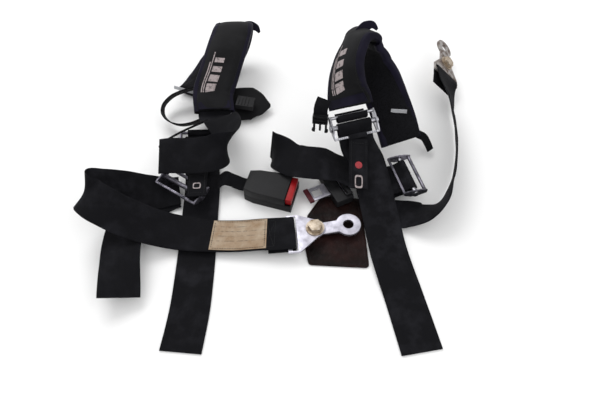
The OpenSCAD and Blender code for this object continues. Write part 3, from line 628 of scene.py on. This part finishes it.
def add_stitch(bm, start, end, up, radius):
    """One thread: a flattened bead that dives into the cloth at both ends."""
    along = end - start
    side = along.cross(up).normalized() * radius
    lift = up.normalized() * radius
    rows = []
    for t, rise in ((0, -0.6), (0.25, 0.75), (0.75, 0.75), (1, -0.6)):
        centre = start + along * t + lift * rise
        rows.append([bm.verts.new(centre + side * math.cos(a) + lift * math.sin(a) * 0.8)
                     for a in (TAU * k / STITCH_SIDES for k in range(STITCH_SIDES))])
    for a, b in zip(rows, rows[1:]):
        for k in range(STITCH_SIDES):
            n = (k + 1) % STITCH_SIDES
            bm.faces.new((a[k], b[k], b[n], a[n]))
    bm.faces.new(rows[0][::-1])
    bm.faces.new(rows[-1])


def stitch_line(bm, line):
    """line is a list of (point, up) in metres; threads follow it from end to end."""
    length, gap = STITCH_LENGTH / 1000, STITCH_GAP / 1000
    marks, walked = [0.0], 0.0
    for (a, _), (b, _) in zip(line, line[1:]):
        walked += (b - a).length
        marks.append(walked)

    def at(s):
        for k in range(len(marks) - 1):
            if s <= marks[k + 1] or k == len(marks) - 2:
                t = (s - marks[k]) / max(marks[k + 1] - marks[k], 1e-9)
                return line[k][0].lerp(line[k + 1][0], t), line[k][1].lerp(line[k + 1][1], t)

    s = gap
    while s + length < walked:
        start, up = at(s)
        add_stitch(bm, start, at(s + length)[0], up, STITCH_R / 1000)
        s += length + gap


def on_rings(rings, across, height, first, last, up=1):
    """Points along a strap at one distance from its middle, with the direction off its face."""
    return [(r.at(across, height), r.normal * up) for r in rings if first <= r.place <= last]


def across_ring(rings, place, half, height):
    """Points across a strap at one place along it, from -half to half."""
    ring, steps = nearest(rings, place), 8
    return [(ring.at(half * (2 * k / steps - 1), height), ring.normal) for k in range(steps + 1)]


def stitching(name, lines, body, slot):
    """One piece with all the dark threads that follow these lines."""
    def build(bm):
        for line in lines:
            stitch_line(bm, line)
    finish_piece(add_object(name, build, [DARK_THREAD], 0), body, slot)


def box_stitch(rings, first, last, half, height):
    """The lines of the box with a cross that holds webbing to webbing."""
    def point(across, place):
        ring = nearest(rings, place)
        return ring.at(across, height), ring.normal
    corners = [(-half, first), (half, first), (half, last), (-half, last)]
    pairs = list(zip(corners, corners[1:] + corners[:1])) + [(corners[0], corners[2]),
                                                            (corners[1], corners[3])]
    steps = 10
    return [[point(a[0] + (b[0] - a[0]) * k / steps, a[1] + (b[1] - a[1]) * k / steps)
             for k in range(steps + 1)] for a, b in pairs]


# ---- padded panels ----
PANEL_VOXEL, PANEL_COLUMNS = 0.002, 14
PANEL_CROWN = 1.2
PUFF_FRAMES, PUFF_PRESSURE, PUFF_CAP = 20, 4.0, 0.0022
OUTER_FACE = -(WEB_T / 2 + PAD_GAP + PAD_OUTER_T * 0.62)
INNER_FACE = WEB_T / 2 + PAD_GAP + PAD_INNER_T * 0.62
BINDING_T = 0.9
# Grid cell of draped shapes in millimetres; lift and half thickness of printing in metres
GRID_CELL = 2.0
PRINT_LIFT, PRINT_T = 0.00012, 0.00022


def panel_profile(width, bottom, top):
    """Closed outline of a foam panel: thin at its bound edges, crowned in the middle."""
    half = width / 2
    xs = [half - 2 * half * k / PANEL_COLUMNS for k in range(PANEL_COLUMNS + 1)]
    edge = (top - bottom) * 0.5

    def rise(x):
        return edge + (top - bottom - edge + PANEL_CROWN) * (1 - abs(x / half) ** 3.2)
    return [(x, bottom + rise(x)) for x in xs] + [(x, bottom) for x in reversed(xs)]


def puff(piece):
    """Swells a closed panel with the cloth simulation; no point moves past PUFF_CAP."""
    mesh = piece.data
    start = [v.co.copy() for v in mesh.vertices]
    cloth = piece.modifiers.new("puff", "CLOTH")
    cloth.settings.quality = 4
    cloth.settings.use_pressure = True
    cloth.settings.uniform_pressure_force = PUFF_PRESSURE
    cloth.settings.effector_weights.gravity = 0
    cloth.point_cache.frame_start, cloth.point_cache.frame_end = 1, PUFF_FRAMES
    for step in range(1, PUFF_FRAMES + 1):
        scene.frame_set(step)
    depsgraph = bpy.context.evaluated_depsgraph_get()
    swollen = piece.evaluated_get(depsgraph).to_mesh()
    moved = [v.co.copy() for v in swollen.vertices]
    piece.evaluated_get(depsgraph).to_mesh_clear()
    piece.modifiers.remove(cloth)
    scene.frame_set(1)
    for vertex, a, b in zip(mesh.vertices, start, moved):
        step = b - a
        if step.length > PUFF_CAP:
            step *= PUFF_CAP / step.length
        vertex.co = a + step


def remesh(piece):
    """Gives a closed panel an even mesh."""
    modifier = piece.modifiers.new("remesh", "REMESH")
    modifier.mode = "VOXEL"
    modifier.voxel_size = PANEL_VOXEL
    modifier.use_smooth_shade = True
    apply_modifiers(piece)


def apply_modifiers(piece):
    """Bakes a piece's modifiers into its mesh."""
    depsgraph = bpy.context.evaluated_depsgraph_get()
    mesh = bpy.data.meshes.new_from_object(piece.evaluated_get(depsgraph))
    piece.modifiers.clear()
    piece.data = mesh


def keep_off(piece, rings, low, high):
    """Holds a panel's swollen points between two heights off the webbing's middle."""
    centres = [mm(r.centre) for r in rings]
    for vertex in piece.data.vertices:
        k = min(range(len(rings)), key=lambda i: (centres[i] - vertex.co).length_squared)
        ring = rings[k]
        height = (vertex.co - centres[k]).dot(ring.normal) * 1000
        held = min(max(height, low), high)
        vertex.co += ring.normal * ((held - height) / 1000)


def foam_panel(node, rings, side, thick, body, material, slot):
    """One padded panel; side is -1 for the outer face and 1 for the inner one."""
    near = WEB_T / 2 + PAD_GAP + 0.1
    profile = [(x, side * h) for x, h in panel_profile(PAD_W - 1.5, near, near + thick - 0.6)]
    if side < 0:
        profile.reverse()
    piece = add_object(node + "_foam", lambda bm: sweep(bm, rings, profile), [material])
    remesh(piece)
    puff(piece)
    low, high = sorted((side * near, side * (near + thick + 2.0)))
    keep_off(piece, rings[::3], low, high)
    smooth = piece.modifiers.new("smooth", "SMOOTH")
    smooth.iterations = 3
    apply_modifiers(piece)
    piece.data.shade_smooth()
    finish_piece(piece, body, slot, node)
    return piece


def binding(name, rings, edge, body):
    """The bias tape folded round one long edge of both panels."""
    outer, inner, half = OUTER_FACE, INNER_FACE, PAD_W / 2
    line = [(half - 7.5, outer - 1.1), (half - 3.5, outer - 0.9), (half - 0.6, outer + 0.3),
            (half + 0.7, outer + 2.4), (half + 0.7, inner - 1.8), (half - 0.6, inner - 0.2),
            (half - 3.5, inner + 0.8), (half - 7.5, inner + 0.9)]
    middle = Vector((half - 5, (outer + inner) / 2))
    inside = []
    for x, h in reversed(line):
        pull = (middle - Vector((x, h))).normalized() * BINDING_T
        inside.append((x + pull.x, h + pull.y))
    profile = [(edge * x, h) for x, h in line + inside]
    if edge < 0:
        profile.reverse()
    piece = add_object(name, lambda bm: sweep(bm, rings, profile[::-1], 0.25, 3), [BINDING], 70)
    finish_piece(piece, body, "pad_fabric")


def end_band(name, rings, first, last, body):
    """The flat tape across a pad's end, over the outer panel."""
    height = -(WEB_T / 2 + PAD_GAP + PAD_OUTER_T + 0.7)
    part = [r for r in rings if first <= r.place <= last]
    half = PAD_W / 2 - 6
    xs = [half - 2 * half * k / 12 for k in range(13)]
    crown = [(x, height - 1.0 * (1 - abs(x / half) ** 3)) for x in xs]
    profile = crown + [(x, h + 1.2) for x, h in reversed(crown)]
    piece = add_object(name, lambda bm: sweep(bm, part, profile[::-1], 0.2, 5), [BINDING])
    finish_piece(piece, body, "pad_fabric")


def drape(target, point, outward):
    """Where target's surface is met on the way in from outside a point, in metres."""
    hit, _, _, _ = target.ray_cast(point + outward * 0.03, -outward, 0.06)
    return hit or point


def cell_grid(outline):
    """A flat outline cut into small triangles, so that it can follow a curved face."""
    flat = bmesh.new()
    flat.faces.new([flat.verts.new((x, y, 0)) for x, y in outline])
    for axis, normal in ((0, Vector((1, 0, 0))), (1, Vector((0, 1, 0)))):
        values = [p[axis] for p in outline]
        step = min(values) + GRID_CELL
        while step < max(values):
            bmesh.ops.bisect_plane(flat, geom=flat.verts[:] + flat.edges[:] + flat.faces[:],
                                   plane_co=normal * step, plane_no=normal)
            step += GRID_CELL
    bmesh.ops.triangulate(flat, faces=flat.faces[:])
    return flat


def two_faces(bm, flat, tops, lows):
    """The upper and lower skins of a shape cut by cell_grid."""
    for f in flat.faces:
        bm.faces.new([tops[v] for v in f.verts])
        bm.faces.new([lows[v] for v in reversed(f.verts)])


def printed_shape(bm, target, rings, outline):
    """Raises one flat printed shape: outline is (across, place) points in millimetres."""
    flat = cell_grid(outline)
    tops, lows = {}, {}
    for v in flat.verts:
        ring = nearest(rings, v.co.y)
        slide = ring.along * (v.co.y - ring.place)
        point = mm(ring.centre + slide + ring.side * v.co.x)
        out = -ring.normal
        surface = drape(target, point, out) + out * PRINT_LIFT
        tops[v] = bm.verts.new(surface + out * PRINT_T)
        lows[v] = bm.verts.new(surface - out * PRINT_T)
    two_faces(bm, flat, tops, lows)
    for e in flat.edges:
        if e.is_boundary:
            a, b = e.verts
            bm.faces.new((tops[a], tops[b], lows[b], lows[a]))
    bmesh.ops.recalc_face_normals(bm, faces=bm.faces[:])
    flat.free()


def bars_mark(start, length, middle):
    """A generic mark: a row of slanted blocks, with two thin rules beside them."""
    shapes, blocks, width, slant, rule = [], 4, 14, 4, 1.5
    pitch = length / blocks
    left, right = middle - width / 2, middle + width / 2
    for k in range(blocks):
        a = start + k * pitch
        b = a + pitch * (0.78 - 0.1 * k)
        shapes.append([(left, a), (right, a + slant), (right, b + slant), (left, b)])
    for offset, share in ((-3.6, 1.0), (-6.6, 0.72)):
        x = left + offset
        shapes.append([(x, start), (x + rule, start), (x + rule, start + length * share),
                       (x, start + length * share)])
    return shapes


def pad_mark(name, panel, rings, shapes, body):
    """Prints the shapes on a pad's outer panel."""
    target = BVHTree.FromObject(panel, bpy.context.evaluated_depsgraph_get())

    def build(bm):
        for outline in shapes:
            printed_shape(bm, target, rings, outline)
    finish_piece(add_object(name, build, [GREY_PRINT], 40), body, "grey_tape")


def shoulder_pad(hand, route, mark):
    """Both foam panels of a pad, its bound edges, its end bands, its mark and its stitches."""
    rings, body = rings_of(route, DETAIL_PITCH), f"{hand}_half"
    outer = foam_panel(f"{hand}_shoulder_pad_outer", rings, -1, PAD_OUTER_T, body, PAD_CLOTH,
                       "pad_fabric")
    foam_panel(f"{hand}_shoulder_pad_inner", rings, 1, PAD_INNER_T, body, PAD_MESH, "pad_mesh")
    for edge, word in ((-1, "left"), (1, "right")):
        binding(f"{hand}_pad_binding_{word}", rings, edge, body)
    end = rings[-1].place
    end_band(f"{hand}_pad_front_band", rings, 0.5, 15, body)
    end_band(f"{hand}_pad_rear_band", rings, end - 13, end - 0.5, body)
    pad_mark(f"{hand}_pad_mark", outer, rings, mark, body)
    face = OUTER_FACE - 1.25
    lines = [on_rings(rings, edge * (PAD_W / 2 - 6.3), face, 3, end - 3, -1) for edge in (-1, 1)]
    stitching(f"{hand}_pad_stitches", lines, body, "pad_fabric")


# ---- hardware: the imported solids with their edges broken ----
BEVEL_ANGLE, SMOOTH_ANGLE = math.radians(32), math.radians(40)


def rounded(node, material, slot, width, segments):
    """A copy of a CAD node with its sharp edges rounded by width millimetres."""
    mesh = frame["nodes"][node].data.copy()
    bm = bmesh.new()
    bm.from_mesh(mesh)
    bmesh.ops.remove_doubles(bm, verts=bm.verts[:], dist=0.00001)
    bmesh.ops.dissolve_limit(bm, angle_limit=math.radians(1), verts=bm.verts[:],
                             edges=bm.edges[:])
    sharp = [e for e in bm.edges if len(e.link_faces) == 2
             and e.calc_face_angle(0) > BEVEL_ANGLE]
    bmesh.ops.bevel(bm, geom=sharp, offset=width / 1000, segments=segments, profile=0.6,
                    affect="EDGES", clamp_overlap=True)
    bmesh.ops.triangulate(bm, faces=[f for f in bm.faces if len(f.verts) > 4])
    bm.to_mesh(mesh)
    bm.free()
    mesh.materials.clear()
    mesh.materials.append(material)
    mesh.shade_smooth()
    mesh.set_sharp_from_angle(angle=SMOOTH_ANGLE)
    piece = bpy.data.objects.new(node + "_finish", mesh)
    scene.collection.objects.link(piece)
    finish_piece(piece, body_name(node), slot, node)


def dress(node, material):
    """Gives a CAD node that keeps its own shape a better material."""
    data = frame["nodes"][node].data
    data.materials.clear()
    data.materials.append(material)


# ---- soft parts ----
shoulder_pad("left", LEFT_PAD, bars_mark(28, 66, -5.5))
shoulder_pad("right", RIGHT_PAD, bars_mark(20, 62, -6))

LEFT_TAB = pull_tab_route(LEFT_ADJ, (-142, -14, 27), 4)
RIGHT_TAB = pull_tab_route(RIGHT_ADJ, (80, -6, 34), 0)
BELT = (WEB_W, WEB_T, WEBBING, "webbing")
PULL_TAB = (TAB_W, TAB_T, WEBBING, "webbing")
TIE = (44, WEB_T, WEBBING, "webbing")
HEM = (6, 1.6, GREY_TAPE, "grey_tape")
# Each strap: its CAD node, its route, its width and thickness, its material and slot
STRAPS = [
    ("left_pad_webbing", LEFT_PAD[::-1] + CROSSOVER, *BELT),
    ("left_adjuster_tie", seat_stations(LEFT_ADJ, PAD_TIE), *TIE),
    ("left_pull_tab", LEFT_TAB, *PULL_TAB),
    ("left_shoulder_webbing", LEFT_SHOULDER, *BELT),
    ("left_lap_webbing", LEFT_LAP, *BELT),
    ("left_lap_tail", LEFT_LAP_TAIL, *BELT),
    ("buckle_strap", BUCKLE_STRAP, 30, WEB_T, WEBBING, "webbing"),
    ("left_pad_loop", LEFT_LOOP, 20, 2, TAPE, "webbing"),
    ("left_thin_strap", THIN_STRAP, 12, 2, TAPE, "webbing"),
    ("left_chest_strap", CHEST_STRAP, 60, WEB_T, THIN_CLOTH, "thin_cloth"),
    ("left_pad_hem", LEFT_HEM, *HEM),
    ("right_pad_hem", RIGHT_HEM, *HEM),
    ("sewn_label", LABEL, 46, 0.8, LABEL_CLOTH, "label_cloth"),
    ("right_pad_webbing", RIGHT_PAD, *BELT),
    ("right_adjuster_tie", seat_stations(RIGHT_ADJ, PAD_TIE), *TIE),
    ("right_pull_tab", RIGHT_TAB, *PULL_TAB),
    ("right_shoulder_webbing", RIGHT_SHOULDER, *BELT),
    ("right_lap_webbing", RIGHT_LAP, *BELT),
    ("right_lap_tail", RIGHT_LAP_TAIL, *BELT),
    ("right_pad_tail", PAD_TAIL, 14, 2, TAPE, "webbing"),
    ("right_chest_strap", PRONG_STRAP, THIN_W, WEB_T, TAPE, "webbing"),
]
for node, route, width, thick, material, slot in STRAPS:
    loose = width >= 44 and node != "sewn_label"
    strap(node, route, width, thick, material, slot, WOBBLE if loose else 0.0)

# The cloth loop that holds each pull tab to its adjuster's lip
KEEPER = facing(ACROSS, (0, -20.6, 4.5), (0, -18, 4.9), (0, -14.4, 4.2), (0, -14.2, 1.6),
                (0, -15.5, -0.1), (0, -18, -0.1), (0, -20.6, 0.5))
KEEPER_T, KEEPER_PITCH = 0.9, 1.5
for hand, seat in (("left", LEFT_ADJ), ("right", RIGHT_ADJ)):
    band(f"{hand}_tab_keeper", rings_of(seat_stations(seat, KEEPER), KEEPER_PITCH), TAB_W,
         KEEPER_T, WEBBING, f"{hand}_shoulder_adjuster", "webbing")

# The bound corner of each pad's far half that curls up behind the crest
CURL_W, CURL_T, CURL_PITCH = 16, 3.4, 2
for hand, route in (("left", LEFT_CURL), ("right", RIGHT_CURL)):
    band(f"{hand}_pad_curl", rings_of(route, CURL_PITCH), CURL_W, CURL_T, BINDING,
         f"{hand}_half", "pad_fabric")

# ---- stitching and marks on the soft parts ----
label_rings = rings_of(LABEL, DETAIL_PITCH)
label_end = label_rings[-1].place
rows = [on_rings(label_rings, side * 21, 0.55, 2, label_end - 2) for side in (-1, 1)]
rows += [across_ring(label_rings, place, 20, 0.55) for place in (2.5, label_end - 2.5)]
stitching("sewn_label_stitches", rows, "left_half", "label_cloth")

# The wrapped end of the lap strap comes out of the anchor plate this far along the route
wrap_end = 58
anchor_rings = rings_of(LEFT_LAP, DETAIL_PITCH)
out_of_plate = next(r.place for r in anchor_rings if r.place > wrap_end)
stitching("left_anchor_stitches",
          box_stitch(anchor_rings, out_of_plate + 8, out_of_plate + 20, 20, 0.9),
          "left_half", "webbing")

for hand, route in (("left", LEFT_TAB), ("right", RIGHT_TAB)):
    rings = rings_of(route, DETAIL_PITCH)
    last = rings[-1].place
    rows = [on_rings(rings, side * 10.5, 1.3, 2, last - 2) for side in (-1, 1)]
    rows += [across_ring(rings, place, 9.5, 1.3) for place in (6, last - 4)]
    stitching(f"{hand}_pull_tab_stitches", rows, f"{hand}_pull_tab", "webbing")


def tab_mark(bm, rings, place, radius, thick, tall, inner):
    """A round dot, or where inner isn't 0 a rounded outline, lying on a pull tab.

    tall is the outline's height over its width, and inner is its inner radius.
    """
    ring, steps = nearest(rings, place), 28
    power = 0.45 if inner else 1.0
    height = TAB_T / 2

    def loop(r, h):
        points = []
        for k in range(steps):
            c, s = math.cos(TAU * k / steps), math.sin(TAU * k / steps)
            x = math.copysign(abs(c) ** power, c) * r
            y = math.copysign(abs(s) ** power, s) * r * tall
            points.append(bm.verts.new(mm(ring.centre + ring.side * x + ring.along * y
                                          + ring.normal * h)))
        return points

    loops = [loop(radius, height), loop(radius, height + thick)]
    if inner:
        loops += [loop(inner, height + thick), loop(inner, height)]
        pairs = list(zip(loops, loops[1:] + loops[:1]))
    else:
        bm.faces.new(loops[1])
        bm.faces.new(loops[0][::-1])
        pairs = [tuple(loops)]
    for a, b in pairs:
        for k in range(steps):
            n = (k + 1) % steps
            bm.faces.new((a[k], a[n], b[n], b[k]))
    bmesh.ops.recalc_face_normals(bm, faces=bm.faces[:])


for name, route, material, slot, shape in (
        ("right_pull_tab_badge", RIGHT_TAB, RED_PRINT, "red_plastic", (38, 5, 0.35, 1.0, 0)),
        ("right_pull_tab_mark", RIGHT_TAB, GREY_PRINT, "grey_tape", (62, 5.5, 0.25, 1.7, 4.0)),
        ("left_pull_tab_mark", LEFT_TAB, GREY_PRINT, "grey_tape", (74, 5.5, 0.25, 0.9, 4.0))):
    rings = rings_of(route, DETAIL_PITCH)
    mark = add_object(name, lambda bm: tab_mark(bm, rings, *shape), [material], 40)
    finish_piece(mark, "left_pull_tab" if route is LEFT_TAB else "right_pull_tab", slot)

# ---- the leather flap ----
FLAP_GROW, FLAP_LIP = 6.0, 0.7
FLAP_TOP, FLAP_MIDDLE = 2.1, Vector((48, -53, 0))


def grown_outline(points, radius, steps=5):
    """A convex outline pushed out by radius, with round corners; points run anticlockwise."""
    loop = []
    for i, p in enumerate(points):
        before, after = points[i - 1], points[(i + 1) % len(points)]
        first = math.atan2(-(p[0] - before[0]), p[1] - before[1])
        last = math.atan2(-(after[0] - p[0]), after[1] - p[1])
        sweep_by = (last - first) % TAU
        for k in range(steps + 1):
            a = first + sweep_by * k / steps
            loop.append((p[0] + radius * math.cos(a), p[1] + radius * math.sin(a)))
    return loop


def edge_distance(x, y, loop):
    """How far a point is from a closed outline."""
    best = 1e9
    for (ax, ay), (bx, by) in zip(loop, loop[1:] + loop[:1]):
        dx, dy = bx - ax, by - ay
        t = max(0.0, min(1.0, ((x - ax) * dx + (y - ay) * dy) / max(dx * dx + dy * dy, 1e-9)))
        best = min(best, math.hypot(x - ax - t * dx, y - ay - t * dy))
    return best


FLAP_EDGE = grown_outline(FLAP_OUTLINE, FLAP_GROW)


def flap_top(x, y):
    """A point of the flap's rumpled top: broad folds and fine creases, flat along its edge."""
    fold = noise.noise(Vector((x / 22, y / 34, 3.1)))
    crease = 1 - abs(noise.noise(Vector((x / 11 + y / 40, y / 13, 9.7)))) * 4
    fine = noise.noise(Vector((x / 4, y / 5, 5.5)))
    ease = min(1.0, (edge_distance(x, y, FLAP_EDGE) - FLAP_LIP) / 7)
    rumple = 1.5 * max(fold, -0.5) + 0.7 * max(crease, 0) + 0.18 * fine
    return mm((x, y, FLAP_TOP + ease * rumple))


def build_flap(bm):
    """The flap's rumpled top, its flat underside and its rounded rim."""
    flat = cell_grid(grown_outline(FLAP_OUTLINE, FLAP_GROW - FLAP_LIP))
    tops, lows, rims = {}, {}, {}
    for v in flat.verts:
        x, y = v.co.x, v.co.y
        tops[v] = bm.verts.new(flap_top(x, y))
        lows[v] = bm.verts.new(mm((x, y, 0.1)))
    two_faces(bm, flat, tops, lows)
    for e in flat.edges:
        if e.is_boundary:
            for v in e.verts:
                if v not in rims:
                    out = (Vector((v.co.x, v.co.y, 0)) - FLAP_MIDDLE).normalized() * FLAP_LIP
                    rims[v] = bm.verts.new(mm((v.co.x + out.x, v.co.y + out.y, 1.2)))
            a, b = e.verts
            bm.faces.new((tops[a], tops[b], rims[b], rims[a]))
            bm.faces.new((rims[a], rims[b], lows[b], lows[a]))
    bmesh.ops.recalc_face_normals(bm, faces=bm.faces[:])
    flat.free()


flap = add_object("buckle_flap_leather", build_flap, [LEATHER])
finish_piece(flap, body_name("buckle_flap"), "brown_leather", "buckle_flap")
seam = [(flap_top(x, y), Vector((0, 0, 1)))
        for x, y in grown_outline(FLAP_OUTLINE, FLAP_GROW - 4.5)]
stitching("buckle_flap_stitches", [seam + seam[:1]], body_name("buckle_flap"), "brown_leather")

# ---- hardware ----
ADJUSTERS = ("left_shoulder", "right_shoulder", "left_lap", "right_lap")
for place in ADJUSTERS:
    rounded(f"{place}_adjuster", CHROME if place == "right_shoulder" else DULL_CHROME,
            "chrome_frame", 0.35, 2)
for node, material, slot, width in (
        ("left_anchor_plate", PLATED, "plated_steel", 0.5),
        ("left_anchor_link", PLATED, "plated_steel", 0.9),
        ("right_anchor_plate", BARE, "worn_steel", 0.5),
        ("right_anchor_link", BARE, "worn_steel", 0.9),
        ("left_anchor_bolt", PASSIVATED, "zinc_gold", 0.5),
        ("right_anchor_bolt", PASSIVATED, "zinc_gold", 0.5),
        ("tongue_plate", PLATED, "plated_steel", 0.3),
        ("buckle_top_cover", BLACK_PLASTIC, "black_plastic", 1.1),
        ("buckle_bottom_cover", BLACK_PLASTIC, "black_plastic", 0.8),
        ("release_button", RED_PLASTIC, "red_plastic", 0.6),
        ("tongue_cover", BLACK_PLASTIC, "black_plastic", 1.1),
        ("tongue_tip", MAROON_PLASTIC, "maroon_plastic", 0.5),
        ("chest_clip_socket", BLACK_PLASTIC, "black_plastic", 0.4),
        ("chest_clip_prongs", BLACK_PLASTIC, "black_plastic", 0.4)):
    rounded(node, material, slot, width, 3)
for place in ADJUSTERS:
    dress(f"{place}_slide_bar", CHROME if place.startswith("right") else DULL_CHROME)
for node in ("left_anchor_washer", "left_anchor_nut", "right_anchor_washer", "right_anchor_nut"):
    dress(node, PASSIVATED)
for node in ("buckle_frame", "latch_pawl", "pawl_pin", "buckle_screws"):
    dress(node, PLATED)
for node in ("button_spring", "ejector_spring"):
    dress(node, SPRING)
dress("ejector", WHITE_PLASTIC)

# ---- floor and light ----
FLOOR_SIZE, FLOOR_DROP, FLOOR_TONE = 4.0, 0.0004, 0.86


def floor_material():
    """Pale paper, barely mottled."""
    tone = (FLOOR_TONE,) * 3
    s = Shader("floor", tone, 0.7)
    s.color(s.mix(s.ramp(s.noise(3, 2), 0, 0.5), tone, tuple(c * 0.985 for c in tone)))
    return s.material


def floor():
    def build(bm):
        bm.faces.new([bm.verts.new((x * FLOOR_SIZE, y * FLOOR_SIZE, -FLOOR_DROP))
                      for x, y in ((-1, -1), (1, -1), (1, 1), (-1, 1))])
    add_object("floor", build, [floor_material()])


def area_light(name, place, size, power):
    """A soft rectangular lamp that faces the middle of the harness."""
    data = bpy.data.lights.new(name, "AREA")
    data.shape = "RECTANGLE"
    data.size, data.size_y = size
    data.energy = power
    lamp = bpy.data.objects.new(name, data)
    lamp.location = place
    lamp.rotation_euler = (-Vector(place)).to_track_quat("-Z", "Y").to_euler()
    scene.collection.objects.link(lamp)


def light_scene():
    scene.view_settings.view_transform = "Standard"
    world = bpy.data.worlds.new("pale_room")
    world.use_nodes = True
    background = world.node_tree.nodes["Background"]
    background.inputs["Color"].default_value = (1, 1, 1, 1)
    background.inputs["Strength"].default_value = 0.9
    scene.world = world
    area_light("window", (-0.6, 0.9, 1.5), (1.2, 0.9), 14)
    area_light("bounce", (0.9, -0.8, 1.2), (1.0, 1.0), 5)


floor()
light_scene()
